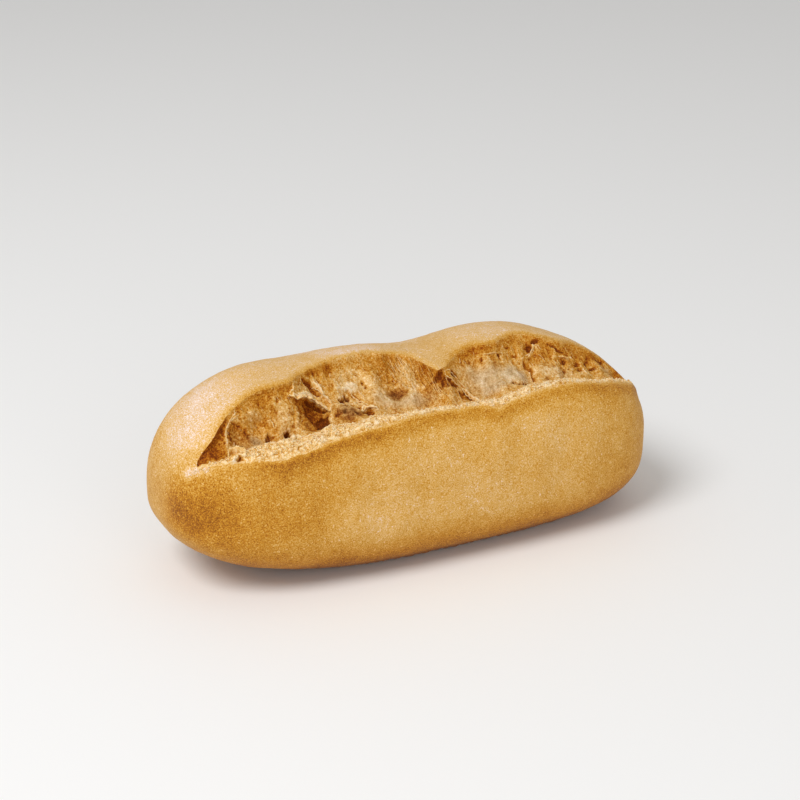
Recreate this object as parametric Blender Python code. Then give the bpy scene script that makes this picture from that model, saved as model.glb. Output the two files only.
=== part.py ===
"""A small gluten-free baton loaf, baked in one piece.

The dough was shaped into a short baton and slashed twice along its back. In the oven the
two slashes opened and ran into one another. A torn valley of crumb is left between the low
front lip of the crust and the high back lip, and a tongue of crust reaches down into it
where the slashes meet. Crust and crumb are one solid.

Frame: X along the loaf, Y across it with the low lip on the -Y side, Z up. The origin is
the middle of the flat base. All sizes are in metres.
"""

import bmesh
import bpy
import numpy as np

# ---- Driving dimensions -----------------------------------------------------------------
LENGTH = 0.150
WIDTH = 0.0615  # across the widest line, at mid length
HEIGHT = 0.0564  # of the crown at mid length
WIDEST_Z = 0.0225  # height of the widest line above the base
FLARE = 0.085  # the right end is this share wider than mid length, the left end narrower
SINK = 0.003  # how far a fully round underside would reach below the flat base

# Squareness of each curve: 2 is an ellipse, and a higher number is fuller at the corners.
PLAN_LEFT, PLAN_RIGHT = 3.05, 3.75
CROWN_LEFT, CROWN_RIGHT = 3.2, 2.46
BELLY_LEFT, BELLY_RIGHT = 2.1, 4.2
TOP_FRONT, TOP_BACK, UNDERSIDE = 2.9, 2.6, 2.65

# The crown swells over each slash and dips between them: place, reach and height.
CROWN_SWELLS = ((-0.053, 0.0175, 0.0027), (0.009, 0.016, -0.0031), (0.043, 0.011, 0.0009))

# The two lips of the tear seen from above, (x, y), from its left end to its right end.
TEAR_LEFT = (-0.0698, -0.0142)
TEAR_RIGHT = (0.0720, -0.0092)
FRONT_LIP = (
    TEAR_LEFT,
    (-0.0621, -0.0194),
    (-0.0546, -0.0226),
    (-0.0467, -0.0248),
    (-0.0381, -0.0257),
    (-0.0206, -0.0260),
    (-0.0065, -0.0254),
    (0.0070, -0.0252),
    (0.0125, -0.0256),
    (0.0176, -0.0269),  # the nick below the tongue
    (0.0250, -0.0262),
    (0.0503, -0.0241),
    (0.0641, -0.0197),
    (0.0690, -0.0162),
    TEAR_RIGHT,
)
BACK_LIP = (
    TEAR_LEFT,
    (-0.0637, -0.0139),
    (-0.0576, -0.0112),
    (-0.0471, -0.0087),
    (-0.0382, -0.0080),
    (-0.0330, -0.0040),
    (-0.0232, 0.0004),
    (-0.0105, 0.0025),
    (-0.0020, 0.0015),
    (0.0030, -0.0015),
    (0.0045, -0.0072),
    (0.0066, -0.0113),  # tip of the tongue
    (0.0098, -0.0098),
    (0.0146, -0.0057),
    (0.0212, -0.0033),
    (0.0256, -0.0047),
    (0.0380, -0.0009),
    (0.0505, -0.0044),
    (0.0562, -0.0034),
    (0.0645, -0.0044),
    TEAR_RIGHT,
)

# Across the tear, from front lip to back lip: first a ledge of crumb as wide as the band,
# then the valley, then the wall up to the back lip. Depths are shares of the tear's width.
BAND_WIDTH = (
    (-0.0698, 0.0010),
    (-0.0620, 0.0016),
    (-0.0555, 0.0036),
    (-0.0490, 0.0062),
    (-0.0370, 0.0052),
    (-0.0255, 0.0049),
    (-0.0130, 0.0023),
    (0.0000, 0.0015),
    (0.0125, 0.0016),
    (0.0240, 0.0030),
    (0.0390, 0.0019),
    (0.0720, 0.0011),
)
LEAST_BAND, MOST_BAND = 0.06, 0.30  # as shares of the tear's width
LEDGE_RISE = 0.022
VALLEY_PLACE, VALLEY_DEPTH = 0.40, 0.25
WALL = ((0.62, 0.215), (0.84, 0.115), (0.95, 0.045))

# Hollows torn into the crumb: x, place across the tear, reach along x, reach across, depth.
HOLLOWS = (
    (-0.0640, 0.62, 0.0030, 0.0045, 0.0013),  # smooth scoop at the left end
    (-0.0560, 0.53, 0.0028, 0.0028, 0.0011),  # bubble beside it
    (-0.0325, 0.62, 0.0040, 0.0046, 0.0020),  # deep cave under the big pleat
    (-0.0302, 0.44, 0.0030, 0.0030, 0.0022),
    (-0.0216, 0.64, 0.0015, 0.0012, 0.0013),  # small hole
    (-0.0154, 0.44, 0.0016, 0.0012, 0.0011),  # small pocket
    (-0.0042, 0.61, 0.0028, 0.0020, 0.0014),  # dimple in the smooth lobe
    (0.0096, 0.76, 0.0036, 0.0022, 0.0016),  # slit under the web
    (0.0410, 0.88, 0.0020, 0.0018, 0.0011),  # knot in the right slash
    (0.0378, 0.58, 0.0016, 0.0036, 0.0007),  # seam between two lobes
)

# Lobes of crumb that stand out of the valley, in the same terms.
LOBES = (
    (-0.0583, 0.24, 0.0026, 0.0024, 0.0019),  # block at the left end of the ledge
    (-0.0416, 0.60, 0.0026, 0.0036, 0.0005),
    (-0.0222, 0.52, 0.0032, 0.0014, 0.0008),
    (-0.0172, 0.74, 0.0026, 0.0018, 0.0010),
    (-0.0096, 0.54, 0.0038, 0.0030, 0.0010),
    (-0.0020, 0.47, 0.0046, 0.0024, 0.0007),
    (0.0200, 0.70, 0.0032, 0.0034, 0.0005),
    (0.0314, 0.58, 0.0034, 0.0032, 0.0009),
    (0.0438, 0.56, 0.0034, 0.0024, 0.0007),
)

# Pleats and webs that stand up from the crumb: both ends (x, place across), reach, height.
PLEATS = (
    ((-0.0580, 0.88), (-0.0598, 0.42), 0.0013, 0.0012),  # thin rim at the left
    ((-0.0388, 0.88), (-0.0302, 0.73), 0.0014, 0.0016),  # the big pleat over the cave
    ((-0.0320, 0.77), (-0.0262, 0.57), 0.0014, 0.0016),
    ((-0.0284, 0.90), (-0.0254, 0.62), 0.0014, 0.0009),  # the pleat beside it
    ((0.0078, 0.92), (0.0142, 0.62), 0.0014, 0.0016),  # web from the tongue to the nick
    ((0.0132, 0.70), (0.0174, 0.08), 0.0014, 0.0014),
)

# Gentle unevenness of baked dough: wavelength and height.
CRUST_WAVES = ((0.034, 0.00015), (0.014, 0.00008))
CRUMB_WAVES = ((0.010, 0.0005), (0.005, 0.0002))
FLAT_ZONE = 0.006  # the unevenness fades out over this height above the base
TIP_ZONE = 0.004  # and over this length at each tip
ROUGH_WIDTH = 0.012  # a tear at least this wide has crumb of full roughness
CRUST_SEED, CRUMB_SEED = 7, 21

# Fineness of the mesh.
STATIONS = 88
BASE_ROWS = 3  # from the middle line of the base to its edge, on each side
SIDE_ROWS = 14  # from the edge of the base to a lip, on each side
CRUMB_ROWS = 17
SECTION_POINTS = 240  # points that trace each quarter of a section before it is cut into rows
LEAST_BASE = 0.12  # share of the way to the widest line that the base rows take where nothing is flat
LEAST_GAP = 0.0010  # where the lips are closer than this, the crust is whole

# Colours seen on the loaf, linear light.
CRUST_COLOUR = (0.60, 0.34, 0.12, 1.0)
CRUMB_COLOUR = (0.66, 0.43, 0.21, 1.0)
CRUST_ROUGHNESS, CRUMB_ROUGHNESS = 0.62, 0.85


def cap(share, squareness):
    """Height of a superellipse of half width 1 and height 1."""
    return np.clip(1.0 - np.abs(share) ** squareness, 0.0, 1.0) ** (1.0 / squareness)


def curve(x, points):
    """A smooth line through the points that never swings past them."""
    px, py = np.array(points).T
    step = np.diff(px)
    rise = np.diff(py) / step
    slope = np.zeros(len(px))
    onward = np.flatnonzero(rise[:-1] * rise[1:] > 0)
    slope[onward + 1] = 2 * rise[onward] * rise[onward + 1] / (rise[onward] + rise[onward + 1])
    slope[0], slope[-1] = rise[0], rise[-1]
    k = np.clip(np.searchsorted(px, x) - 1, 0, len(step) - 1)
    t = np.clip((x - px[k]) / step[k], 0.0, 1.0)
    value = py[k] * (1 + 2 * t) * (1 - t) ** 2 + py[k + 1] * t * t * (3 - 2 * t)
    return value + step[k] * t * (1 - t) * (slope[k] * (1 - t) - slope[k + 1] * t)


def waves(points, wavelength, seed):
    """Smooth unevenness of about unit size at each point."""
    rng = np.random.RandomState(seed)
    count = 12
    aims = rng.normal(size=(count, 3))
    aims /= np.linalg.norm(aims, axis=1)[:, None]
    phases = rng.uniform(0, 2 * np.pi, count)
    total = sum(np.sin(points @ (aims[k] * 2 * np.pi / wavelength) + phases[k]) for k in range(count))
    return total / np.sqrt(count / 2)


def by_side(x, left, right):
    return np.where(x < 0, left, right)


def plan_half_width(x):
    s = 2 * x / LENGTH
    return WIDTH / 2 * cap(s, by_side(x, PLAN_LEFT, PLAN_RIGHT)) * (1 + FLARE * s)


def crown_height(x):
    s = 2 * x / LENGTH
    crown = HEIGHT + sum(h * np.exp(-(((x - c) / r) ** 2)) for c, r, h in CROWN_SWELLS)
    return WIDEST_Z + (crown - WIDEST_Z) * cap(s, by_side(x, CROWN_LEFT, CROWN_RIGHT))


def belly_depth(x):
    """How far the round underside would reach below the widest line."""
    return (WIDEST_Z + SINK) * cap(2 * x / LENGTH, by_side(x, BELLY_LEFT, BELLY_RIGHT))


def station_places():
    """Places along X, closer together where the outline or the back lip turns across."""
    x = LENGTH / 2 * np.sin(np.linspace(-np.pi / 2, np.pi / 2, 4001))
    outline = np.hypot(np.diff(x), np.diff(plan_half_width(x)))
    lip = np.hypot(np.diff(x), 0.7 * np.diff(curve(x, BACK_LIP)))
    run = np.concatenate([[0], np.cumsum(0.5 * (outline + lip))])
    return np.interp(np.linspace(0, run[-1], STATIONS + 2)[1:-1], run, x)


def crust_side(x, lip_y, side):
    """One side of a section, from the middle of the base up to a lip, as evenly spread rows."""
    half, top, under = plan_half_width(x), crown_height(x) - WIDEST_Z, belly_depth(x)
    # The angle runs from straight down, through the widest line at 0, to the lip. A lip
    # beyond the middle line lies past straight up.
    reach = side * lip_y / half
    squareness = TOP_FRONT if lip_y < 0 else TOP_BACK
    lean = np.arccos(np.sign(reach) * np.abs(reach) ** (squareness / 2))
    below = np.linspace(-np.pi / 2, 0, SECTION_POINTS)
    above = np.linspace(0, lean, SECTION_POINTS)[1:]
    angle = np.concatenate([below, above])
    c, s = np.cos(angle), np.sin(angle)
    power = np.where(s > 0, np.where(side * c < 0, TOP_FRONT, TOP_BACK), UNDERSIDE)
    y = side * half * np.sign(c) * np.abs(c) ** (2 / power)
    z = WIDEST_Z + np.where(s > 0, top, under) * np.sign(s) * np.abs(s) ** (2 / power)
    flat_edge = 0.0
    if z[0] < 0:
        first = np.argmax(z > 0)
        share = -z[first - 1] / (z[first] - z[first - 1])
        y = np.insert(y, first, y[first - 1] + share * (y[first] - y[first - 1]))
        z = np.insert(np.maximum(z, 0.0), first, 0.0)
        flat_edge = abs(y[first])
    run = np.concatenate([[0], np.cumsum(np.hypot(np.diff(y), np.diff(z)))])
    edge = max(flat_edge, LEAST_BASE * run[SECTION_POINTS - 1])
    base_rows = np.linspace(0, edge, BASE_ROWS + 1)[:-1]
    rows = np.concatenate([base_rows, np.linspace(edge, run[-1], SIDE_ROWS + 1)])
    return np.stack([np.full(len(rows), x), np.interp(rows, run, y), np.interp(rows, run, z)], axis=1)


def outward(grid):
    """Unit normals of a grid of points, (station, row, xyz)."""
    normal = np.cross(np.gradient(grid, axis=0), np.gradient(grid, axis=1))
    return normal / np.maximum(np.linalg.norm(normal, axis=2, keepdims=True), 1e-12)


def uneven_crust(grid, facing):
    """The crust with its gentle swells, flat where it rests and true at its two tips."""
    fade = np.clip(grid[:, :, 2] / FLAT_ZONE, 0, 1) ** 2
    fade = fade * np.clip((LENGTH / 2 - np.abs(grid[:, :, 0])) / TIP_ZONE, 0, 1)
    height = sum(h * waves(grid, length, CRUST_SEED) for length, h in CRUST_WAVES)
    return grid + facing * outward(grid) * (height * fade)[:, :, None]


def tear_depth(x, across, width):
    """Depth of the plain valley below the straight line from lip to lip."""
    band = np.clip(curve(x, BAND_WIDTH) / width, LEAST_BAND, MOST_BAND)
    ledge = [(0.0, 0.0), (0.55 * band, -LEDGE_RISE), (band, -0.3 * LEDGE_RISE)]
    foot = [(0.5 * (band + VALLEY_PLACE), 0.8 * VALLEY_DEPTH)]
    wall = [(VALLEY_PLACE, VALLEY_DEPTH), *WALL, (1.0, 0.0)]
    return width * curve(across, ledge + foot + wall)


def round_forms(x, across, width, forms):
    """Depth of the hollows, or height of the lobes, of the torn crumb."""
    size = np.zeros_like(across)
    for place, where, reach_x, reach_across, most in forms:
        spread = ((x - place) / reach_x) ** 2 + ((across - where) * width / reach_across) ** 2
        size += most * np.exp(-spread)
    return size


def pleat_height(x, across, width):
    """Height of the pleats and webs that stand up from the crumb."""
    height = np.zeros_like(across)
    for (x0, v0), (x1, v1), reach, tall in PLEATS:
        start, run = np.array([x0, v0 * width]), np.array([x1 - x0, (v1 - v0) * width])
        here = np.stack([np.full_like(across, x), across * width], axis=1) - start
        t = np.clip(here @ run / (run @ run), 0, 1)
        off = np.linalg.norm(here - t[:, None] * run, axis=1)
        height += tall * np.exp(-((off / reach) ** 2)) * np.sin(np.pi * (0.15 + 0.7 * t))
    return height


def crumb_section(front, back):
    """The rows of torn crumb between the two lip points of one station."""
    chord = back - front
    width = np.linalg.norm(chord)
    x = front[0]
    across = np.linspace(0, 1, CRUMB_ROWS + 2)[1:-1]
    normal = np.array([0.0, -chord[2], chord[1]]) / width
    points = front + across[:, None] * chord
    # The roughness dies away at both lips and where the tear is narrow.
    near_lip = np.clip(4 * np.minimum(across, 1 - across), 0, 1)
    narrow = min(width / ROUGH_WIDTH, 1.0)
    rise = near_lip * narrow * sum(h * waves(points, length, CRUMB_SEED) for length, h in CRUMB_WAVES)
    rise += pleat_height(x, across, width) + round_forms(x, across, width, LOBES)
    rise -= round_forms(x, across, width, HOLLOWS) + tear_depth(x, across, width)
    return points + rise[:, None] * normal


def paint(name, colour, roughness):
    material = bpy.data.materials.new(name)
    material.use_nodes = True
    shader = material.node_tree.nodes["Principled BSDF"]
    shader.inputs["Base Color"].default_value = colour
    shader.inputs["Roughness"].default_value = roughness
    shader.inputs["Metallic"].default_value = 0.0
    return material


def lip_lines(places):
    """The two lips' Y at each station, and whether the crust is torn open there."""
    front_y, back_y = curve(places, FRONT_LIP), curve(places, BACK_LIP)
    inside = (places > TEAR_LEFT[0]) & (places < TEAR_RIGHT[0])
    torn = inside & (back_y - front_y > LEAST_GAP)
    # Beyond the tear both lips are one line, which runs on to the tip of the loaf.
    end_x = np.where(places < 0, TEAR_LEFT[0], TEAR_RIGHT[0])
    end_y = np.where(places < 0, TEAR_LEFT[1], TEAR_RIGHT[1])
    onward = end_y * plan_half_width(places) / plan_half_width(end_x)
    seam_y = np.where(inside, (front_y + back_y) / 2, onward)
    return np.where(torn, front_y, seam_y), np.where(torn, back_y, seam_y), torn


def make_loaf():
    places = station_places()
    front_y, back_y, torn = lip_lines(places)
    stations = range(STATIONS)
    front = np.array([crust_side(places[i], front_y[i], -1) for i in stations])
    back = np.array([crust_side(places[i], back_y[i], 1) for i in stations])
    front, back = uneven_crust(front, 1), uneven_crust(back, -1)

    mesh = bmesh.new()

    def row_of(points):
        return [mesh.verts.new(p) for p in points]

    rings, crumb_from = [], BASE_ROWS + SIDE_ROWS
    for i in stations:
        ring = row_of(front[i])
        if torn[i]:
            ring += row_of(crumb_section(front[i, -1], back[i, -1]))
            ring += row_of(back[i, :0:-1])
        else:
            ring += [ring[-1]] * (CRUMB_ROWS + 1)
            ring += row_of(back[i, -2:0:-1])
        rings.append(ring)
    left_tip = mesh.verts.new((-LENGTH / 2, 0, WIDEST_Z))
    right_tip = mesh.verts.new((LENGTH / 2, 0, WIDEST_Z))
    count = len(rings[0])
    loops = [[left_tip] * count] + rings + [[right_tip] * count]
    for near, far in zip(loops[:-1], loops[1:]):
        for j in range(count):
            k = (j + 1) % count
            corners = []
            for vertex in (near[j], far[j], far[k], near[k]):
                if vertex not in corners:
                    corners.append(vertex)
            if len(corners) > 2:
                face = mesh.faces.new(corners)
                face.material_index = int(crumb_from <= j <= crumb_from + CRUMB_ROWS)
    bmesh.ops.triangulate(mesh, faces=mesh.faces[:])
    mesh.normal_update()
    data = bpy.data.meshes.new("loaf")
    mesh.to_mesh(data)
    mesh.free()
    data.shade_smooth()
    data.materials.append(paint("baked crust", CRUST_COLOUR, CRUST_ROUGHNESS))
    data.materials.append(paint("torn crumb", CRUMB_COLOUR, CRUMB_ROUGHNESS))
    loaf = bpy.data.objects.new("loaf", data)
    bpy.context.scene.collection.objects.link(loaf)
    return loaf


for old in list(bpy.data.objects):
    bpy.data.objects.remove(old, do_unlink=True)
make_loaf()
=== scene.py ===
"""A small gluten-free baton loaf, baked in one piece and torn open along its back.

The golden crust comes first, then the crumb that the tear lays bare, then the thin skins,
threads and crumbs that stand on it, and last the floor, the light and the camera.
The frame: X along the loaf, Y across it with the low lip of the tear on the -Y side, Z up.
"""

from itertools import combinations

import bpy
import numpy as np
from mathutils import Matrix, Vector


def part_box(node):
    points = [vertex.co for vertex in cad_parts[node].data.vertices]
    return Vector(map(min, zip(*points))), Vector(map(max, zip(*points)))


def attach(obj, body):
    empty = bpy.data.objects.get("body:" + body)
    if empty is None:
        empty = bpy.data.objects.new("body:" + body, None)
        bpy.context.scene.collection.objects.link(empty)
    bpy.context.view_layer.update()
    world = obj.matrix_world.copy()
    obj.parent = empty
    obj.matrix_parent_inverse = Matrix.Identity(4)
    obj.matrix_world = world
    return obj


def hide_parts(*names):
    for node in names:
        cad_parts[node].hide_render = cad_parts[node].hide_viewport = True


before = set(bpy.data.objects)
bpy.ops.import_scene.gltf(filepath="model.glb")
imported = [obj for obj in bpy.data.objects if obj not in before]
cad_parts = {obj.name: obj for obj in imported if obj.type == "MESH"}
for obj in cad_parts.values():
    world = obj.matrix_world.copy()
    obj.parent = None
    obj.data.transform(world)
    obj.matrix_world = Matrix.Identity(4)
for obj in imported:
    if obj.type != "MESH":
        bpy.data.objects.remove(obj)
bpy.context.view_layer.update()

# ---- The crust ------------------------------------------------------------------------------
# The baked skin of the loaf, dry, matte and finely grained. It wraps the whole loaf from the
# back lip of the tear, under the flat base, to the front lip. The oven left it golden on the sides,
# and browner low down and along the edges of the tear. Its paler crown is painted light from above,
# and its browner low sides are partly real browning and partly painted shade towards the floor.
mm = 0.001
low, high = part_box("loaf")
loaf_length = high.x - low.x
loaf_width = 0.41 * loaf_length  # across the widest line, at mid length
loaf_height = 0.376 * loaf_length  # of the crown at mid length
widest_z = 0.15 * loaf_length
sink = 0.02 * loaf_length  # how far a fully round underside would reach below the flat base
flare = 0.085  # the right end is this share wider than mid length, the left end narrower

# Squareness of each curve: 2 is an ellipse, and a higher number is fuller at the corners.
plan_left, plan_right = 3.05, 3.75
crown_left, crown_right = 3.2, 2.46
belly_left, belly_right = 2.1, 4.2
top_front, top_back, underside = 2.9, 2.6, 2.65

# The crown swells over each slash and dips between them: place, reach and height.
crown_swells = ((-0.053, 0.0175, 0.0027), (0.009, 0.016, -0.0031), (0.043, 0.011, 0.0009))

# The two lips of the tear seen from above, (x, y), from its left end to its right end.
tear_left = (-0.0698, -0.0142)
tear_right = (0.0720, -0.0092)
front_lip = (
    tear_left,
    (-0.0621, -0.0194),
    (-0.0546, -0.0226),
    (-0.0467, -0.0248),
    (-0.0381, -0.0257),
    (-0.0296, -0.0258),
    (-0.0206, -0.0260),
    (-0.0065, -0.0254),
    (0.0000, -0.0252),
    (0.0070, -0.0252),
    (0.0125, -0.0256),
    (0.0152, -0.0263),
    (0.0176, -0.0269),  # the nick below the tongue
    (0.0205, -0.0265),
    (0.0250, -0.0262),
    (0.0503, -0.0241),
    (0.0641, -0.0197),
    (0.0690, -0.0162),
    tear_right,
)
back_lip = (
    tear_left,
    (-0.0637, -0.0139),
    (-0.0576, -0.0112),
    (-0.0471, -0.0087),
    (-0.0382, -0.0080),
    (-0.0330, -0.0040),
    (-0.0232, 0.0004),
    (-0.0105, 0.0025),
    (-0.0020, 0.0015),
    (0.0030, -0.0015),
    (0.0045, -0.0072),
    (0.0066, -0.0113),  # tip of the tongue
    (0.0098, -0.0098),
    (0.0146, -0.0057),
    (0.0212, -0.0033),
    (0.0256, -0.0047),
    (0.0380, -0.0009),
    (0.0505, -0.0044),
    (0.0562, -0.0034),
    (0.0645, -0.0044),
    tear_right,
)
# How ragged the lips are. Relief is given in layers: height, size of its lumps, seed.
back_lip_ragged = ((0.40 * mm, 3.5 * mm, 71), (0.25 * mm, 1.2 * mm, 72))
front_lip_ragged = ((0.12 * mm, 3.5 * mm, 61), (0.07 * mm, 1.0 * mm, 62))
least_gap = 1.0 * mm  # where the lips are closer than this, the crust is whole
ragged_gap = 8 * mm  # and where they are at least this far apart, they are ragged in full

stations = 420
base_rows, side_rows = 12, 98
section_points = 500  # points that each side is first drawn with, below and above the widest line
least_base = 0.12  # share of the way to the widest line that the base rows take on a round base


def cap(share, squareness):
    """Height of a superellipse of half width 1 and height 1."""
    return np.clip(1.0 - np.abs(share) ** squareness, 0.0, 1.0) ** (1.0 / squareness)


def smooth_line(x, points):
    """A smooth line through the points that never swings past them."""
    px, py = np.array(points).T
    step = np.diff(px)
    rise = np.diff(py) / step
    slope = np.zeros(len(px))
    onward = np.flatnonzero(rise[:-1] * rise[1:] > 0)
    slope[onward + 1] = 2 * rise[onward] * rise[onward + 1] / (rise[onward] + rise[onward + 1])
    slope[0], slope[-1] = rise[0], rise[-1]
    k = np.clip(np.searchsorted(px, x) - 1, 0, len(step) - 1)
    t = np.clip((x - px[k]) / step[k], 0.0, 1.0)
    value = py[k] * (1 + 2 * t) * (1 - t) ** 2 + py[k + 1] * t * t * (3 - 2 * t)
    return value + step[k] * t * (1 - t) * (slope[k] * (1 - t) - slope[k + 1] * t)


def ramp(value, start, end):
    """0 before start, 1 after end, and a smooth change between them."""
    t = np.clip((value - start) / (end - start), 0, 1)
    return t * t * (3 - 2 * t)


def bell(distance, reach):
    """1 at no distance, fading out over a reach."""
    return np.exp(-((distance / reach) ** 2))


def dough_swells(points, layers, seed):
    """The slow unevenness of risen dough, in layers of a height and a wavelength."""
    rng = np.random.RandomState(seed)
    waves = 12
    aims = rng.normal(size=(waves, 3))
    aims /= np.linalg.norm(aims, axis=1)[:, None]
    phases = rng.uniform(0, 2 * np.pi, waves)
    total = np.zeros(points.shape[:-1])
    for height, wavelength in layers:
        for aim, phase in zip(aims, phases):
            total += height * np.sin(points @ (aim * 2 * np.pi / wavelength) + phase)
    return total / np.sqrt(waves / 2)


def grain(points, size, seed):
    """Random relief between about -1 and 1, in lumps of this size."""
    rng = np.random.RandomState(seed)
    order = rng.permutation(256)
    aims = rng.normal(size=(256, 3))
    aims /= np.linalg.norm(aims, axis=1)[:, None]
    place = points / size
    cell = np.floor(place).astype(int)
    part = place - cell
    fade = part**3 * (part * (part * 6 - 15) + 10)
    total = np.zeros(points.shape[:-1])
    for corner in np.ndindex(2, 2, 2):
        at = (cell + corner) & 255
        pick = order[(order[(order[at[..., 0]] + at[..., 1]) & 255] + at[..., 2]) & 255]
        weight = np.prod(np.where(corner, fade, 1 - fade), axis=-1)
        total += weight * np.sum(aims[pick] * (part - corner), axis=-1)
    return 1.6 * total


def layered(points, layers):
    """Random relief in layers of a height, a size of lumps and a seed."""
    return sum(height * grain(points, size, seed) for height, size, seed in layers)


def bubbles(points, size, seed):
    """How far each point is from the nearest bubble's centre, in sizes, and that bubble's own lot."""
    rng = np.random.RandomState(seed)
    order = rng.permutation(256)
    centres = rng.uniform(size=(256, 3))
    lots = rng.uniform(size=256)
    place = points / size
    cell = np.floor(place).astype(int)
    nearest = np.full(points.shape[:-1], 9.0)
    lot = np.zeros(points.shape[:-1])
    for step in np.ndindex(3, 3, 3):
        at = cell + np.array(step) - 1
        key = order[(order[(order[at[..., 0] & 255] + at[..., 1]) & 255] + at[..., 2]) & 255]
        gap = np.linalg.norm(place - at - centres[key], axis=-1)
        closer = gap < nearest
        nearest = np.where(closer, gap, nearest)
        lot = np.where(closer, lots[key], lot)
    return nearest, lot


def pocks(points, size, seed, least_lot, reach, fullness):
    """1 in the middle of some bubbles, those above a lot, and 0 from a reach in bubble sizes."""
    near, lot = bubbles(points, size, seed)
    return (lot > least_lot) * np.clip(1 - near / reach, 0, 1) ** fullness


def by_side(x, left, right):
    """One value for the left half of the loaf and another for the right."""
    return np.where(x < 0, left, right)


def half_width_at(x):
    """Half of the loaf's width across its widest line."""
    s = 2 * x / loaf_length
    return loaf_width / 2 * cap(s, by_side(x, plan_left, plan_right)) * (1 + flare * s)


def crown_at(x):
    """The height of the crown above the base."""
    s = 2 * x / loaf_length
    crown = loaf_height + sum(height * bell(x - at, reach) for at, reach, height in crown_swells)
    return widest_z + (crown - widest_z) * cap(s, by_side(x, crown_left, crown_right))


def belly_at(x):
    """How far a round underside would reach below the widest line."""
    return (widest_z + sink) * cap(2 * x / loaf_length, by_side(x, belly_left, belly_right))


def lip_lines(places):
    """The two lips' Y at each station, and whether the crust is torn open there."""
    front_y, back_y = smooth_line(places, front_lip), smooth_line(places, back_lip)
    gap = back_y - front_y
    inside = (places > tear_left[0]) & (places < tear_right[0])
    torn = inside & (gap > least_gap)
    open_share = np.clip(gap / ragged_gap, 0, 1)
    # Beyond the tear both lips are one line, which runs on to the tip of the loaf.
    end_x = np.where(places < 0, tear_left[0], tear_right[0])
    end_y = np.where(places < 0, tear_left[1], tear_right[1])
    onward = end_y * half_width_at(places) / half_width_at(end_x)
    seam_y = np.where(inside, (front_y + back_y) / 2, onward)
    line = np.stack([places, np.zeros_like(places), np.zeros_like(places)], axis=-1)
    front_y = front_y + open_share * layered(line, front_lip_ragged)
    back_y = back_y + open_share * layered(line, back_lip_ragged)
    return np.where(torn, front_y, seam_y), np.where(torn, back_y, seam_y), torn


def crust_side(x, lip_y, side):
    """One side of a section, from the middle of the base up to a lip, as evenly spread rows."""
    half, top, under = half_width_at(x), crown_at(x) - widest_z, belly_at(x)
    # The angle runs from straight down, through the widest line at 0, to the lip. A lip
    # beyond the middle line lies past straight up.
    reach = side * lip_y / half
    squareness = top_front if lip_y < 0 else top_back
    lean = np.arccos(np.sign(reach) * np.abs(reach) ** (squareness / 2))
    below = np.linspace(-np.pi / 2, 0, section_points)
    above = np.linspace(0, lean, section_points)[1:]
    angle = np.concatenate([below, above])
    c, s = np.cos(angle), np.sin(angle)
    power = np.where(s > 0, np.where(side * c < 0, top_front, top_back), underside)
    y = side * half * np.sign(c) * np.abs(c) ** (2 / power)
    z = widest_z + np.where(s > 0, top, under) * np.sign(s) * np.abs(s) ** (2 / power)
    flat_edge = 0.0
    if z[0] < 0:
        first = np.argmax(z > 0)
        share = -z[first - 1] / (z[first] - z[first - 1])
        y = np.insert(y, first, y[first - 1] + share * (y[first] - y[first - 1]))
        z = np.insert(np.maximum(z, 0.0), first, 0.0)
        flat_edge = abs(y[first])
    run = np.concatenate([[0], np.cumsum(np.hypot(np.diff(y), np.diff(z)))])
    edge = max(flat_edge, least_base * run[section_points - 1])
    inner = np.linspace(0, edge, base_rows + 1)[:-1]
    rows = np.concatenate([inner, np.linspace(edge, run[-1], side_rows + 1)])
    return np.stack([np.full(len(rows), x), np.interp(rows, run, y), np.interp(rows, run, z)], axis=1)


def outward(grid):
    """Unit normals of a grid of points, (station, row, xyz)."""
    normal = np.cross(np.gradient(grid, axis=0), np.gradient(grid, axis=1))
    return normal / np.maximum(np.linalg.norm(normal, axis=2, keepdims=True), 1e-12)


def crust_places():
    """Places along X, closer together where the outline or the back lip turns across."""
    x = loaf_length / 2 * np.sin(np.linspace(-np.pi / 2, np.pi / 2, 4001))
    outline = np.hypot(np.diff(x), np.diff(half_width_at(x)))
    lip = np.hypot(np.diff(x), 0.7 * np.diff(smooth_line(x, back_lip)))
    run = np.concatenate([[0], np.cumsum(0.5 * (outline + lip))])
    return np.interp(np.linspace(0, run[-1], stations + 2)[1:-1], run, x)


def distance_to(points, line):
    """How far each point is from the nearest point of a line."""
    nearest = np.full(points.shape[:-1], 1.0)
    for place in line:
        nearest = np.minimum(nearest, np.linalg.norm(points - place, axis=-1))
    return nearest


def spot(points, centre, reach):
    """1 at a centre given in millimetres, fading out over a reach in millimetres."""
    return bell(np.linalg.norm(points - np.array(centre) * mm, axis=-1), reach * mm)


places = crust_places()
front_y, back_y, torn = lip_lines(places)
front_half = np.array([crust_side(x, y, -1) for x, y in zip(places, front_y)])
back_half = np.array([crust_side(x, y, 1) for x, y in zip(places, back_y)])
# Each ring runs from the back lip down the back, over the base and up the front.
crust = np.concatenate([back_half[:, :0:-1], front_half], axis=1)

crust_swells = ((0.15 * mm, 34 * mm), (0.08 * mm, 14 * mm))
flat_zone = 6.0 * mm  # the unevenness fades out over this height above the base
tip_zone = 4.0 * mm  # and over this length at each tip
fade = np.clip(crust[:, :, 2] / flat_zone, 0, 1) ** 2
fade *= np.clip((loaf_length / 2 - np.abs(crust[:, :, 0])) / tip_zone, 0, 1)
swell = fade * dough_swells(crust, crust_swells, 7)
crust = crust + outward(crust) * swell[:, :, None]

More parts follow.
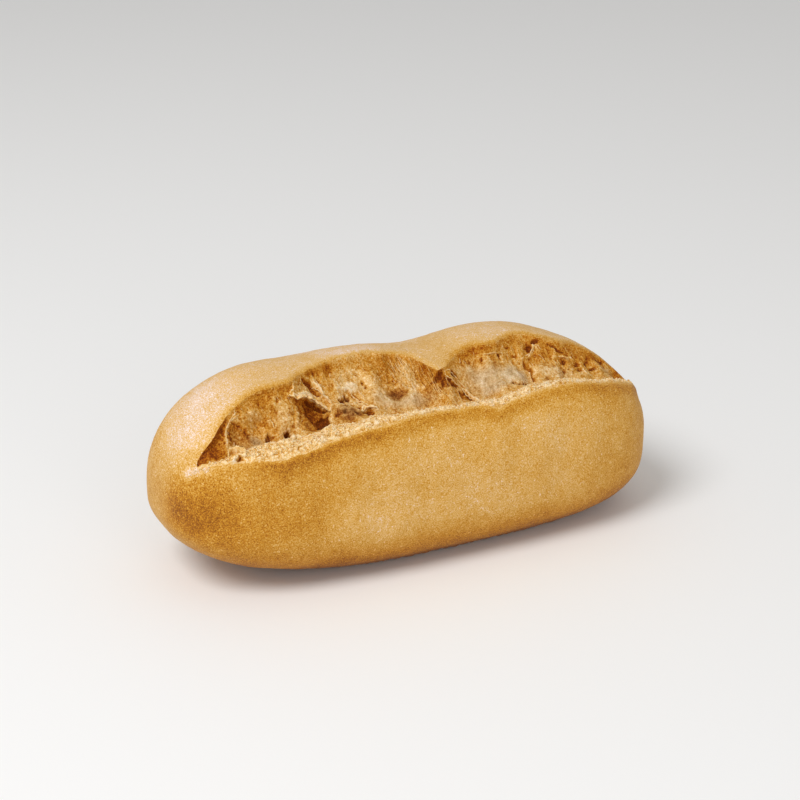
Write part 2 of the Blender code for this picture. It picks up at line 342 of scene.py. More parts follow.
# The lips turn in towards the tear, the back one softly and the front one tightly, and the
# front one has a low bead along it.
back_roll, back_roll_reach = 0.55 * mm, 2.6 * mm
front_roll, front_roll_reach = 0.10 * mm, 1.1 * mm
bead_height, bead_place, bead_reach = 0.18 * mm, 2.0 * mm, 1.3 * mm
wide_gap = 10 * mm  # the lips have their full form where they are this far apart
from_back = distance_to(crust, crust[torn, 0])
from_front = distance_to(crust, crust[torn, -1])
gap_share = np.clip((back_y - front_y)[torn] / wide_gap, 0, 1)
open_share = np.where(torn, np.interp(places, places[torn], gap_share), 0)[:, None]
roll = back_roll * np.clip(1 - from_back / back_roll_reach, 0, 1) ** 2
roll += front_roll * np.clip(1 - from_front / front_roll_reach, 0, 1) ** 2
bead = bead_height * bell(from_front - bead_place, bead_reach)
# At its right end the front lip stands up as a small corner.
corner_height, corner_reach = 0.8 * mm, 3.2 * mm
corner_start, corner_end = 61 * mm, 68 * mm
front_side = np.arange(crust.shape[1]) > crust.shape[1] // 2
end_corner = corner_height * bell(from_front, corner_reach) * front_side
end_corner *= ramp(crust[:, :, 0], corner_start, corner_end)

# Fine relief: slight lumps, a sandy grain and a few pimples.
crust_lumps = ((0.09 * mm, 5.0 * mm, 31), (0.05 * mm, 1.7 * mm, 32), (0.035 * mm, 0.8 * mm, 33))
pimple_height, pimple_cell = 0.16 * mm, 4.5 * mm
lumps = layered(crust, crust_lumps)
pimples = pimple_height * pocks(crust, pimple_cell, 34, least_lot=0.7, reach=0.17, fullness=2)
# The skin is wrinkled in one browner patch low on the left end: its centre and reach in mm.
wrinkled_patch = ((-73.3, -10.5, 27.5), 4.5)
wrinkle_relief = ((0.35 * mm, 2.2 * mm, 35),)
wrinkles = spot(crust, *wrinkled_patch) * layered(crust, wrinkle_relief)
# The edge of the base is a little torn where the loaf was lifted off its tray, and the back
# lip is frayed.
foot_torn, foot_reach = ((0.60 * mm, 2.4 * mm, 36),), 1.4 * mm
lip_frayed, fray_reach = ((0.16 * mm, 0.9 * mm, 37),), 1.6 * mm
near_foot = np.exp(-crust[:, :, 2] / foot_reach) * (crust[:, :, 2] > 0)
frayed = np.exp(-from_back / fray_reach) * layered(crust, lip_frayed)
relief = fade * (lumps + pimples + wrinkles + end_corner + open_share * (bead - roll + frayed))
relief += near_foot * layered(crust, foot_torn)
crust = crust + outward(crust) * relief[:, :, None]
crust[:, :, 2] = np.maximum(crust[:, :, 2], 0)
crust[~torn, -1] = crust[~torn, 0]

# How far each place is baked, from 0 for the palest skin to 1 for dark brown: golden on the
# sides, paler where it faces up as painted light from above, and browner low down and brown at
# the foot, partly real browning and partly painted shade towards the floor.
plain_bake, crown_painted_light, low_browner_and_shade, foot_browner_and_shade = 0.46, 0.14, 0.52, 0.50
low_zone, foot_zone = 18 * mm, 4.0 * mm
bake = plain_bake - crown_painted_light * ramp(outward(crust)[:, :, 2], 0.30, 0.95)
bake += low_browner_and_shade * ramp(crust[:, :, 2], low_zone, 0)
bake += foot_browner_and_shade * ramp(crust[:, :, 2], foot_zone, 0)
# The front lip is browner below its edge, and the edge itself is pale: partly paler crust and
# partly a painted highlight along the edge.
rim_browner, rim_reach, edge_paler_and_highlight, edge_reach = 0.32, 4.4 * mm, 0.9, 0.6 * mm
rim_start, rim_full = -66 * mm, -46 * mm
rim_tint = np.exp(-((from_front / rim_reach) ** 2.5)) - edge_paler_and_highlight * bell(from_front, edge_reach)
bake += rim_browner * rim_tint * ramp(crust[:, :, 0], rim_start, rim_full)
# The back lip is amber, and the tongue only a little.
lip_browner, tongue_browner, lip_reach = 0.32, 0.06, 1.3 * mm
tongue_place, tongue_reach = 6.5 * mm, 5 * mm
on_tongue = bell(crust[:, :, 0] - tongue_place, tongue_reach)
lip_tint = lip_browner + (tongue_browner - lip_browner) * on_tongue
bake += lip_tint * open_share * bell(from_back, lip_reach)
# Spots: centre in mm, reach in mm, how much browner.
for centre, reach, browner in (
    # The first four spots paint the lamp's sheen on the left shoulder and crown paler: a painted
    # highlight, with one slightly browner spot inside it.
    ((-69.0, -4.0, 44.0), 10, -0.24),  # pale left shoulder
    ((-60.0, 5.0, 51.0), 8, -0.16),
    ((-66.8, 0.6, 47.0), 6, 0.06),
    ((-56.0, -4.0, 54.0), 12, -0.04),
    ((-69.0, -16.0, 26.0), 12, 0.37),  # amber, low on the left
    ((-56.0, -24.0, 17.0), 12, 0.09),
    ((-74.0, -6.0, 30.0), 9, 0.04),
    ((-70.4, -13.2, 37.6), 1.5, -0.5),  # the tear runs out in a pale streak
    ((-68.6, -14.8, 38.6), 1.3, -0.5),
    ((-66.6, -16.6, 39.5), 1.2, -0.4),
    ((-45.0, -28.0, 28.0), 14, 0.12),
    # The next two paint the crown behind the back lip paler: painted light where the lip's roll shades
    # it.
    ((-13.0, 6.0, 57.0), 12, -0.22),
    ((28.5, 6.0, 57.0), 11, -0.07),
    ((-73.3, -10.5, 27.5), 4, 0.16),  # the wrinkled patch
    ((-16.0, -30.0, 19.0), 10, -0.10),
    ((26.0, -30.0, 20.0), 24, -0.08),  # yellower, right of the middle
    ((66.0, -25.0, 24.0), 16, 0.10),  # right end
    ((60.0, -28.0, 12.0), 14, 0.06),
):
    bake += browner * spot(crust, centre, reach)
cloudy = ((0.07, 21 * mm, 41), (0.06, 9 * mm, 42), (0.04, 4 * mm, 43))
least_bake = 0.12
bake = np.clip(least_bake + (1 - least_bake) * (bake + layered(crust, cloudy)), 0, 1)
# The left end and shoulder dried out more, and are speckled with pale grit.
speckle = ramp(-crust[:, :, 0], 38 * mm, 64 * mm) * ramp(crust[:, :, 2], 18 * mm, 38 * mm)

left_tip = np.array([[-loaf_length / 2, 0, widest_z]])
right_tip = np.array([[loaf_length / 2, 0, widest_z]])
ring_size = crust.shape[1]
number = np.arange(stations * ring_size).reshape(stations, ring_size)
number[~torn, -1] = number[~torn, 0]


def quads_of(number):
    """The faces between neighbouring points of a numbered grid."""
    corners = (number[:-1, :-1], number[1:, :-1], number[1:, 1:], number[:-1, 1:])
    return np.stack(corners, axis=-1).reshape(-1, 4).tolist()


def fans_of(number, first_tip, last_tip):
    """The faces that close a numbered grid to one point at each end."""
    left = [[first_tip, a, b] for a, b in zip(number[0, :-1].tolist(), number[0, 1:].tolist())]
    right = [[a, last_tip, b] for a, b in zip(number[-1, :-1].tolist(), number[-1, 1:].tolist())]
    return left + right


def bread_piece(name, points, faces, looks, finish):
    """A bread mesh with named values at its points for the finish to read."""
    used = np.zeros(len(points), bool)
    used[np.concatenate([np.array(f) for f in faces])] = True
    renumber = np.cumsum(used) - 1
    data = bpy.data.meshes.new(name)
    data.from_pydata(points[used], [], [renumber[f].tolist() for f in faces])
    data.shade_smooth()
    for label, values in looks.items():
        layer = data.attributes.new(label, "FLOAT", "POINT")
        layer.data.foreach_set("value", values[used].astype(np.float32))
    data.materials.append(finish)
    piece = bpy.data.objects.new(name, data)
    bpy.context.scene.collection.objects.link(piece)
    return piece


def new_finish(name, settings):
    """A finish with its plain settings, and its shader."""
    finish = bpy.data.materials.new(name)
    finish.use_nodes = True
    shader = finish.node_tree.nodes["Principled BSDF"]
    for socket, value in settings.items():
        shader.inputs[socket].default_value = value
    return finish, shader


def add_node(finish, kind, settings=None, links=None):
    """A node of a finish. Settings and links go by a socket's name, or its number where names repeat."""
    node = finish.node_tree.nodes.new(kind)
    for key, value in (settings or {}).items():
        if isinstance(key, int) or key in node.inputs:
            node.inputs[key].default_value = value
        else:
            setattr(node, key, value)
    for key, source in (links or {}).items():
        finish.node_tree.links.new(source, node.inputs[key])
    return node


def mesh_value(finish, label):
    """A value that the mesh carries at its points."""
    return add_node(finish, "ShaderNodeAttribute", {"attribute_name": label}).outputs["Fac"]


def noise_of(finish, place, size, detail):
    """Random light and dark clouds of a size."""
    settings = {"Scale": 1 / size, "Detail": detail}
    return add_node(finish, "ShaderNodeTexNoise", settings, {"Vector": place}).outputs["Fac"]


def mottle(finish, place, size, amount, start):
    """Adds random light and dark spots of a size to a value."""
    raised = {"operation": "MULTIPLY_ADD", 1: 2 * amount}
    spots = add_node(finish, "ShaderNodeMath", raised, {0: noise_of(finish, place, size, 2.0), 2: start})
    lowered = {"operation": "SUBTRACT", 1: amount}
    return add_node(finish, "ShaderNodeMath", lowered, {0: spots.outputs[0]}).outputs[0]


def blend(finish, kind, share, first, second):
    """Goes from the first value or colour to the second by a share."""
    a, b, out = {"FLOAT": (2, 3, 0), "RGBA": (6, 7, 2)}[kind]
    links = {0: share, a: first, b: second}
    return add_node(finish, "ShaderNodeMix", {"data_type": kind}, links).outputs[out]


def colour_ramp(finish, factor, stops):
    """The colour that a value from 0 to 1 stands for."""
    node = add_node(finish, "ShaderNodeValToRGB", None, {"Fac": factor})
    elements = node.color_ramp.elements
    elements[0].position, elements[0].color = stops[0][0], (*stops[0][1], 1)
    elements[1].position, elements[1].color = stops[-1][0], (*stops[-1][1], 1)
    for place, colour in stops[1:-1]:
        elements.new(place).color = (*colour, 1)
    return node.outputs["Color"]


def fine_bump(finish, shader, place, size, height, strength):
    """Grain that is finer than the mesh."""
    settings = {"Strength": strength, "Distance": height}
    bump = add_node(finish, "ShaderNodeBump", settings, {"Height": noise_of(finish, place, size, 3.0)})
    finish.node_tree.links.new(bump.outputs["Normal"], shader.inputs["Normal"])


crust_tones = (
    (0.00, (0.930, 0.805, 0.730)),
    (0.12, (0.795, 0.600, 0.490)),
    (0.31, (0.765, 0.490, 0.200)),
    (0.49, (0.660, 0.368, 0.080)),
    (0.67, (0.555, 0.250, 0.016)),
    (0.84, (0.410, 0.145, 0.004)),
    (1.00, (0.220, 0.066, 0.002)),
)

golden_crust, shader = new_finish(
    "golden crust",
    {"Roughness": 0.60, "Specular IOR Level": 0.19, "Sheen Weight": 0.05, "Sheen Roughness": 0.5},
)
place = add_node(golden_crust, "ShaderNodeTexCoord").outputs["Object"]
baked = mottle(golden_crust, place, 2.2 * mm, 0.10, mesh_value(golden_crust, "bake"))
baked = mottle(golden_crust, place, 0.34 * mm, 0.54, baked)
gritty = mottle(golden_crust, place, 0.50 * mm, 0.34, baked)
baked = blend(golden_crust, "FLOAT", mesh_value(golden_crust, "speckle"), baked, gritty)
# Pale sparks of starch stand out here and there.
starch = noise_of(golden_crust, place, 0.75 * mm, 1.0)
spark_range = {"From Min": 0.62, "From Max": 0.74, "To Max": 0.20}
sparks = add_node(golden_crust, "ShaderNodeMapRange", spark_range, {"Value": starch}).outputs[0]
sparked = add_node(golden_crust, "ShaderNodeMath", {"operation": "SUBTRACT"}, {0: baked, 1: sparks})
colour = colour_ramp(golden_crust, sparked.outputs[0], crust_tones)
golden_crust.node_tree.links.new(colour, shader.inputs["Base Color"])
fine_bump(golden_crust, shader, place, 0.45 * mm, 0.15 * mm, 0.8)

looks = {
    "bake": np.concatenate([bake.ravel(), [bake[0].mean(), bake[-1].mean()]]),
    "speckle": np.concatenate([speckle.ravel(), [0.0, 0.0]]),
}
crust_points = np.concatenate([crust.reshape(-1, 3), left_tip, right_tip])
tips = stations * ring_size
crust_faces = quads_of(number) + fans_of(number, tips, tips + 1)
crust_piece = bread_piece("crust_skin", crust_points, crust_faces, looks, golden_crust)
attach(crust_piece, "root")
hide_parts("loaf")

# ---- The torn crumb -------------------------------------------------------------------------
# The soft inside of the loaf, bared where the two slashes tore open and ran into one another:
# a granular ledge behind the front lip, a valley of smooth torn lobes and hollows, and a wall
# of pulled fibres up to the back lip. Pale cream inside, toasted brown where the oven reached it,
# and painted browner in its hollows and pits as painted shade, with painted light on its crests.
crumb_rows = 124
strips = 2  # crumb strips for each strip of crust

# How wide the ledge behind the front lip is along the tear, (x, width).
band_width = (
    (-0.0698, 0.0009),
    (-0.0620, 0.0015),
    (-0.0559, 0.0036),
    (-0.0509, 0.0051),
    (-0.0481, 0.0060),
    (-0.0437, 0.0057),
    (-0.0417, 0.0070),
    (-0.0396, 0.0051),
    (-0.0339, 0.0042),
    (-0.0310, 0.0051),
    (-0.0252, 0.0041),
    (-0.0191, 0.0041),
    (-0.0128, 0.0022),
    (-0.0065, 0.0017),
    (-0.0004, 0.0012),
    (0.0121, 0.0016),
    (0.0177, 0.0028),
    (0.0315, 0.0025),
    (0.0456, 0.0014),
    (0.0720, 0.0010),
)
least_band, most_band = 0.05, 0.34  # as shares of the tear's width
# Places across the tear, from front lip to back lip, and depths, both as shares of its width.
ledge_rise = 0.022
valley_place, valley_depth = 0.40, 0.25
wall = ((0.62, 0.215), (0.84, 0.115), (0.95, 0.045))

# Hollows: x in mm, place across the tear, reaches along and across in mm, turn in degrees,
# depth in mm, how much browner, how much greyer.
# The browner tint of a hollow is partly the crumb's own toast and partly painted shade in it.
hollows = (
    (-56.0, 0.53, 2.8, 2.6, 0, 1.1, 0.08, 0.2),  # the bubble beside the scoop
    (-58.0, 0.62, 0.6, 1.9, 8, 0.3, 0.34, 0.0),
    (-55.9, 0.75, 2.1, 0.6, 0, 0.3, 0.36, 0.0),
    (-53.2, 0.55, 0.7, 1.7, -10, 0.3, 0.34, 0.0),
    (-44.8, 0.60, 0.6, 0.8, 0, 0.4, 0.26, 0.0),
    (-42.2, 0.86, 0.8, 0.7, 0, 0.3, 0.20, 0.0),
    (-21.0, 0.565, 0.9, 0.5, 0, 0.5, 0.30, 0.3),
    (-22.6, 0.49, 0.8, 0.6, 0, 0.6, 0.32, 0.3),
    (-19.3, 0.45, 0.9, 0.6, 30, 0.7, 0.32, 0.3),
    (-17.6, 0.52, 0.7, 0.5, 0, 0.5, 0.34, 0.1),
    (-13.4, 0.76, 0.5, 0.7, 0, 0.4, 0.36, 0.0),
    (-13.0, 0.70, 0.5, 0.7, 0, 0.4, 0.34, 0.0),
    (-4.2, 0.60, 3.2, 2.3, -12, 0.8, 0.40, 0.5),  # the dimple in the smooth lobe
    (-5.0, 0.63, 2.1, 1.5, 0, 0.2, 0.60, 0.1),
    (6.6, 0.90, 1.5, 1.5, 0, 0.8, 0.34, 0.0),  # the shadow under the tongue
    (29.3, 0.86, 0.5, 0.9, 0, 0.5, 0.44, 0.0),
    (33.3, 0.90, 0.8, 0.5, 0, 0.3, 0.26, 0.0),
    (34.8, 0.79, 0.9, 0.5, 0, 0.4, 0.36, 0.0),
    (23.3, 0.85, 0.6, 0.9, 0, 0.4, 0.38, 0.0),
    (19.3, 0.86, 0.4, 0.5, 0, 0.3, 0.30, 0.0),
    (30.4, 0.60, 1.6, 1.3, 0, 0.4, 0.12, 0.3),
    (40.6, 0.86, 1.1, 1.2, 0, 1.0, 0.56, 0.0),  # the brown knot
    (43.0, 0.95, 1.3, 0.7, 0, 0.7, 0.42, 0.0),
    (50.4, 0.77, 1.0, 0.8, 0, 0.5, 0.34, 0.1),
    (47.7, 0.76, 0.5, 0.6, 0, 0.3, 0.30, 0.0),
    (46.0, 0.63, 0.5, 0.8, 20, 0.3, 0.24, 0.0),
    (48.8, 0.58, 0.6, 0.9, 20, 0.3, 0.26, 0.0),
    (54.6, 0.71, 1.1, 0.7, 0, 0.5, 0.42, 0.0),
    (54.9, 0.61, 0.9, 1.0, 10, 0.7, 0.46, 0.0),
    (58.4, 0.74, 0.5, 0.9, 0, 0.4, 0.38, 0.0),
    (60.0, 0.66, 1.6, 0.7, 15, 0.6, 0.40, 0.0),
    (64.0, 0.87, 1.6, 0.6, 10, 0.4, 0.38, 0.0),
    (41.6, 0.42, 1.7, 0.5, 0, 0.3, 0.24, 0.3),
    (47.4, 0.42, 1.2, 0.5, 0, 0.3, 0.20, 0.2),
)

# Lobes, which stand up, most of them smooth: the same, with a height instead of the depth.
lobes = (
    (-51.0, 0.42, 2.0, 2.0, 0, 0.6, 0.02, 0.5),
    (-41.6, 0.60, 2.4, 3.6, 0, 0.5, -0.08, 0.4),
    (-50.4, 0.76, 3.2, 1.4, 0, 0.4, -0.12, 0.2),
    (-25.6, 0.86, 1.6, 3.2, 15, 0.5, -0.02, 0.0),
    (-20.6, 0.80, 3.2, 2.6, 0, 0.5, -0.05, 0.1),
    # The brightest lobe is painted paler as well: a painted highlight.
    (-17.2, 0.74, 2.4, 1.6, 10, 1.0, -0.20, 0.7),  # the brightest lobe
    (-23.4, 0.53, 1.6, 1.2, 10, 0.7, 0.14, 0.2),  # rough brown lumps
    (-20.8, 0.49, 2.6, 1.7, 0, 0.9, 0.12, 0.4),
    (-18.2, 0.47, 1.0, 1.0, 0, 0.6, 0.12, 0.2),
    (-9.8, 0.55, 3.6, 3.0, 0, 0.9, 0.00, 0.8),  # the smooth lobe
    (-4.6, 0.46, 4.2, 2.2, 0, 0.6, 0.02, 0.9),
    (0.4, 0.49, 3.2, 2.6, 0, 0.5, 0.02, 0.6),
    (18.4, 0.78, 2.6, 2.4, 0, 0.4, -0.02, 0.5),
    (21.2, 0.64, 2.6, 2.6, 0, 0.4, -0.05, 0.6),
    (25.6, 0.70, 2.8, 2.4, 0, 0.4, -0.04, 0.4),
    (31.4, 0.58, 3.4, 3.2, 0, 0.9, -0.10, 0.8),
    (23.0, 0.47, 4.2, 1.6, 0, 0.4, 0.00, 0.9),
    (42.0, 0.55, 2.4, 2.4, 0, 0.7, -0.04, 0.5),
    (45.8, 0.56, 2.2, 2.2, 0, 0.6, -0.03, 0.5),
    (49.4, 0.55, 1.9, 1.7, 0, 0.4, 0.00, 0.5),
    (65.6, 0.76, 2.6, 1.8, 0, 0.4, -0.10, 0.9),
)

# Patches of colour without relief: x in mm, place across, reaches in mm, turn, browner, greyer.
patches = (
    (-54.5, 0.93, 4.0, 1.0, 10, 0.12, 0.0),
    (-46.4, 0.94, 4.4, 2.2, 0, 0.16, 0.0),
    (-48.2, 0.86, 1.6, 0.9, 0, 0.18, 0.0),
    (-47.8, 0.70, 1.6, 1.5, 0, 0.28, 0.0),
    (-46.0, 0.57, 0.9, 0.9, 0, 0.18, 0.0),
    (-44.0, 0.74, 1.0, 1.3, 0, 0.16, 0.0),
    (-38.9, 0.88, 1.3, 1.5, 0, 0.22, 0.0),
    (-39.2, 0.60, 0.8, 2.6, 0, 0.14, 0.0),
    (-28.0, 0.97, 4.8, 1.5, 0, 0.18, 0.0),
    (-23.0, 0.95, 1.5, 1.4, 0, 0.28, 0.0),
    # This one paints the strip under the back lip paler: painted light against the lip's shade.
    (-12.0, 0.96, 7.0, 1.2, 0, -0.12, 0.0),
    (-23.6, 0.76, 0.9, 1.4, 0, 0.14, 0.0),
    (-4.2, 0.76, 2.7, 0.9, 5, 0.26, 0.0),
    (-7.4, 0.70, 1.6, 0.6, 5, 0.16, 0.0),
    (-9.0, 0.86, 3.0, 1.2, 0, 0.12, 0.0),
    (3.9, 0.88, 1.6, 1.8, 0, 0.30, 0.0),
    (6.0, 0.86, 2.2, 2.2, 0, 0.20, 0.0),
    (4.8, 0.72, 2.4, 2.6, 0, 0.18, 0.0),
    (1.5, 0.68, 5.0, 4.0, 0, 0.05, 0.0),  # the pulled fibres
    (9.6, 0.74, 3.0, 2.6, 30, 0.12, 0.0),
    (-50.0, 0.56, 8.0, 4.5, 0, 0.09, 0.0),
    # This one paints the bottom of the left bubble browner and greyer: painted shade.
    (-55.6, 0.36, 3.0, 1.2, 0, 0.12, 0.5),
    (-58.2, 0.56, 1.0, 1.6, 0, 0.16, 0.0),
    (-54.2, 0.60, 1.2, 1.4, 0, 0.14, 0.0),
    (-55.9, 0.82, 1.6, 1.2, 0, -0.08, 0.2),
    (-51.2, 0.42, 2.0, 1.2, 0, 0.14, 0.7),
    (-40.6, 0.44, 2.6, 2.6, 0, 0.10, 0.0),
    (-35.8, 0.78, 1.5, 1.0, 0, 0.12, 0.0),
    (-25.2, 0.49, 1.1, 1.0, 0, 0.32, 0.0),
    (-22.4, 0.54, 4.6, 3.2, 0, 0.12, 0.4),
    (0.5, 0.66, 7.0, 3.2, 0, -0.01, 0.0),
    (-12.0, 0.72, 4.0, 3.0, 0, -0.08, 0.1),
    (-3.5, 0.86, 3.6, 2.0, 0, 0.20, 0.0),
    (-4.5, 0.95, 4.0, 1.2, 0, 0.12, 0.0),
    (-64.0, 0.50, 2.5, 2.0, 0, 0.16, 0.0),
    (-16.0, 0.86, 3.0, 1.6, 0, -0.10, 0.1),
    (-33.6, 0.60, 2.2, 1.6, 0, 0.10, 0.0),
    # These two paint the undersides of the rough lumps browner and greyer: painted shade.
    (-20.8, 0.42, 3.6, 1.7, 0, 0.30, 0.4),
    (-18.7, 0.42, 0.8, 0.7, 0, 0.24, 0.2),
    (20.5, 0.62, 5.4, 4.0, 0, -0.03, 0.65),  # pale and smooth, right of the web
    (28.0, 0.57, 5.4, 3.6, 0, -0.06, 0.7),
    (35.0, 0.50, 2.4, 2.0, 0, -0.06, 0.6),
    (3.0, 0.47, 6.0, 2.0, 0, 0.12, 0.4),
    (55.0, 0.62, 9.0, 3.0, 0, 0.06, 0.0),
    (14.0, 0.58, 1.4, 2.4, 40, 0.14, 0.0),
    (16.6, 0.95, 3.0, 1.4, 30, 0.12, 0.0),
    (21.6, 0.96, 5.0, 1.8, 0, 0.22, 0.0),
    (26.8, 0.78, 1.2, 1.2, 0, 0.14, 0.0),
    (38.8, 0.74, 1.4, 2.2, 0, 0.18, 0.0),
    (44.0, 0.80, 2.6, 2.0, 0, 0.14, 0.0),
    (34.4, 0.94, 5.0, 1.5, 0, 0.08, 0.0),
    (52.6, 0.84, 5.0, 1.6, 15, 0.10, 0.0),
    (60.0, 0.84, 3.0, 1.4, 15, 0.18, 0.0),
    (69.2, 0.74, 1.0, 1.4, 0, 0.20, 0.0),
)

# Torn places with an edge of their own: an outline (x in mm, place across), then the width of
# the edge in mm, the depth in mm (a height if below 0), how much browner, how much greyer.
# Where an outline is sunk, its browner tint is partly toast and partly painted shade in the recess.
outlines = (
    (((-70.0, 0.3), (-68.0, 1.2), (-57.4, 1.2), (-58.0, 0.90), (-59.4, 0.80), (-59.5, 0.64),
      (-59.6, 0.52), (-60.2, 0.32), (-61.5, 0.20), (-64.0, 0.26), (-66.4, 0.12)),
     1.5, 0.4, 0.18, 0.0),  # the brown scoop at the left end
    (((-61.0, 0.08), (-60.7, 0.30), (-59.6, 0.36), (-57.9, 0.30), (-56.0, 0.22), (-55.6, 0.10)),
     0.8, -0.8, -0.08, 0.0),  # a block on the ledge
    (((-59.2, 0.10), (-58.3, 0.13), (-57.2, 0.11), (-56.8, 0.03), (-59.0, 0.02)),
     0.9, 0.8, 0.40, 0.0),  # with a pit in front of it
    (((-48.9, 0.36), (-48.2, 0.46), (-46.6, 0.50), (-46.0, 0.44), (-47.2, 0.34)), 0.9, 0.9, 0.30, 0.3),
    (((-37.4, 0.80), (-34.0, 0.785), (-31.7, 0.775), (-30.4, 0.725), (-28.8, 0.645), (-27.0, 0.565),
      (-26.9, 0.50), (-27.8, 0.41), (-29.6, 0.32), (-32.4, 0.27), (-35.2, 0.32), (-37.6, 0.44),
      (-37.8, 0.62)), 4.2, 0.9, 0.30, 0.0),  # the deep cave under the curtain
    (((-35.0, 0.775), (-33.0, 0.775), (-31.0, 0.74), (-29.4, 0.67), (-27.0, 0.575), (-26.8, 0.50),
      (-27.6, 0.41), (-29.8, 0.32), (-32.0, 0.31), (-34.2, 0.40), (-34.8, 0.54), (-35.2, 0.66)),
     3.0, 1.5, 0.46, 0.0),
    (((-34.0, 0.785), (-32.4, 0.78), (-30.6, 0.745), (-29.0, 0.675), (-26.9, 0.585), (-27.6, 0.55),
      (-29.6, 0.59), (-31.4, 0.66), (-33.2, 0.73)), 1.1, 1.7, 0.50, 0.0),
    (((-32.4, 0.50), (-31.6, 0.55), (-29.4, 0.565), (-27.4, 0.52), (-27.0, 0.43), (-28.6, 0.34),
      (-31.2, 0.32), (-32.9, 0.38)), 1.6, 2.2, 0.92, 0.0),
    (((-36.2, 0.50), (-34.6, 0.53), (-34.2, 0.44), (-35.8, 0.40)), 1.2, 1.0, 0.42, 0.3),
    (((-36.8, 0.95), (-38.6, 0.90), (-38.0, 0.84), (-36.5, 0.835), (-33.2, 0.80), (-31.0, 0.76),
      (-30.1, 0.72), (-30.9, 0.80), (-32.4, 0.87), (-34.6, 0.94)),
     0.8, -0.7, -0.17, 0.0),  # the curtain's pale face
    (((-32.4, 0.955), (-31.0, 0.955), (-29.3, 0.90), (-27.9, 0.82), (-27.3, 0.74), (-28.9, 0.735),
      (-30.4, 0.80), (-31.6, 0.88)), 1.1, 1.3, 0.24, 0.0),  # the brown furrow beyond the curtain
    (((-42.9, 0.44), (-41.2, 0.47), (-40.0, 0.38), (-41.4, 0.30), (-43.2, 0.34)), 1.0, 1.5, 0.41, 0.0),
    (((-23.0, 0.645), (-21.6, 0.655), (-20.5, 0.67), (-20.3, 0.61), (-21.6, 0.59), (-22.9, 0.60)),
     0.6, 1.3, 0.50, 0.1),  # a small dark hole
    (((-20.8, 0.68), (-19.8, 0.70), (-18.7, 0.67), (-19.0, 0.61), (-20.4, 0.61)), 0.7, 0.9, 0.34, 0.5),
    (((-17.9, 0.69), (-16.7, 0.67), (-15.7, 0.60), (-16.1, 0.55), (-17.2, 0.59), (-18.0, 0.65)),
     0.7, 0.6, 0.22, 0.2),
    (((-16.9, 0.45), (-15.4, 0.485), (-13.9, 0.44), (-14.7, 0.38), (-16.4, 0.39)),
     0.9, 1.1, 0.27, 0.0),  # a pocket with a bright rim
    (((10.6, 0.90), (12.5, 0.87), (13.7, 0.80), (12.8, 0.77), (10.9, 0.83)), 0.6, 0.7, 0.44, 0.0),
    (((6.4, 0.86), (8.9, 0.87), (10.8, 0.77), (12.6, 0.67), (11.6, 0.62), (8.8, 0.69), (6.4, 0.72)),
     1.2, 0.6, 0.28, 0.0),  # the slit under the web
    (((8.6, 0.86), (10.8, 0.765), (12.5, 0.67), (11.8, 0.645), (10.0, 0.72), (8.4, 0.78)),
     0.8, 0.9, 0.42, 0.0),
    (((12.2, 0.57), (14.1, 0.58), (15.4, 0.49), (15.7, 0.42), (14.0, 0.38), (11.8, 0.43)),
     0.8, 0.8, 0.27, 0.0),
    (((36.8, 0.71), (38.4, 0.68), (39.6, 0.60), (38.4, 0.53), (38.3, 0.42), (37.1, 0.42), (37.0, 0.52),
      (37.7, 0.58), (36.6, 0.64)), 1.0, 0.7, 0.22, 0.0),  # the seam between two lobes
)

# Pleats, thin folds that stand up, and creases, which have a height below 0: a path (x in mm,
# place across), then reach and height in mm, lean along and across in mm, how much paler.
# A fold's paler crest is partly a painted highlight, and a crease's browner tint is painted shade.
pleats = (
    (((-55.4, 0.87), (-57.0, 0.85), (-59.0, 0.80), (-59.7, 0.62), (-59.7, 0.45)),
     0.30, 0.5, -0.2, 0.0, 0.20),
    (((-38.8, 0.88), (-37.1, 0.835), (-33.5, 0.81), (-31.7, 0.78), (-30.2, 0.73), (-28.9, 0.67),
      (-27.9, 0.62), (-26.6, 0.575)), 0.42, 1.0, 0.1, -0.5, 0.30),
    (((-35.4, 0.985), (-37.2, 0.93), (-40.0, 0.86)), 0.30, 0.4, 0.0, 0.0, 0.20),
    (((-36.8, 0.76), (-37.0, 0.66), (-38.0, 0.55), (-39.4, 0.46)), 0.60, 0.5, 0.0, 0.0, 0.16),
    (((-29.0, 0.95), (-27.6, 0.86), (-27.0, 0.80), (-26.7, 0.73), (-25.9, 0.69), (-25.4, 0.64),
      (-26.0, 0.57)), 0.36, 0.7, -0.1, 0.0, 0.22),
    (((-19.8, 0.75), (-18.1, 0.71), (-16.9, 0.62), (-15.6, 0.52)), 0.30, 0.6, -0.2, 0.0, 0.26),
    (((-17.4, 0.47), (-16.0, 0.51), (-14.4, 0.49), (-12.8, 0.43)), 0.34, 0.8, 0.0, -0.3, 0.25),
    (((-25.2, 0.60), (-23.0, 0.58), (-20.0, 0.575), (-18.0, 0.57)), 0.30, 0.5, 0.0, 0.2, 0.12),
    (((13.8, 0.62), (15.3, 0.51), (16.3, 0.42), (17.0, 0.20), (17.6, 0.05)), 0.40, 0.8, 0.0, 0.0, 0.26),
    (((38.0, 0.74), (40.0, 0.79), (41.6, 0.83), (42.2, 0.89), (43.4, 0.88)), 0.30, 0.6, 0.0, 0.0, 0.26),
    (((29.4, 0.47), (31.0, 0.40), (32.7, 0.385), (35.6, 0.41)), 0.34, -0.9, 0.0, 0.0, -0.36),
    (((46.4, 0.94), (48.3, 0.92), (51.2, 0.88)), 0.32, -0.5, 0.0, 0.0, -0.42),
    (((50.0, 0.84), (52.4, 0.80), (54.2, 0.78)), 0.40, 0.5, 0.0, 0.0, 0.20),
)


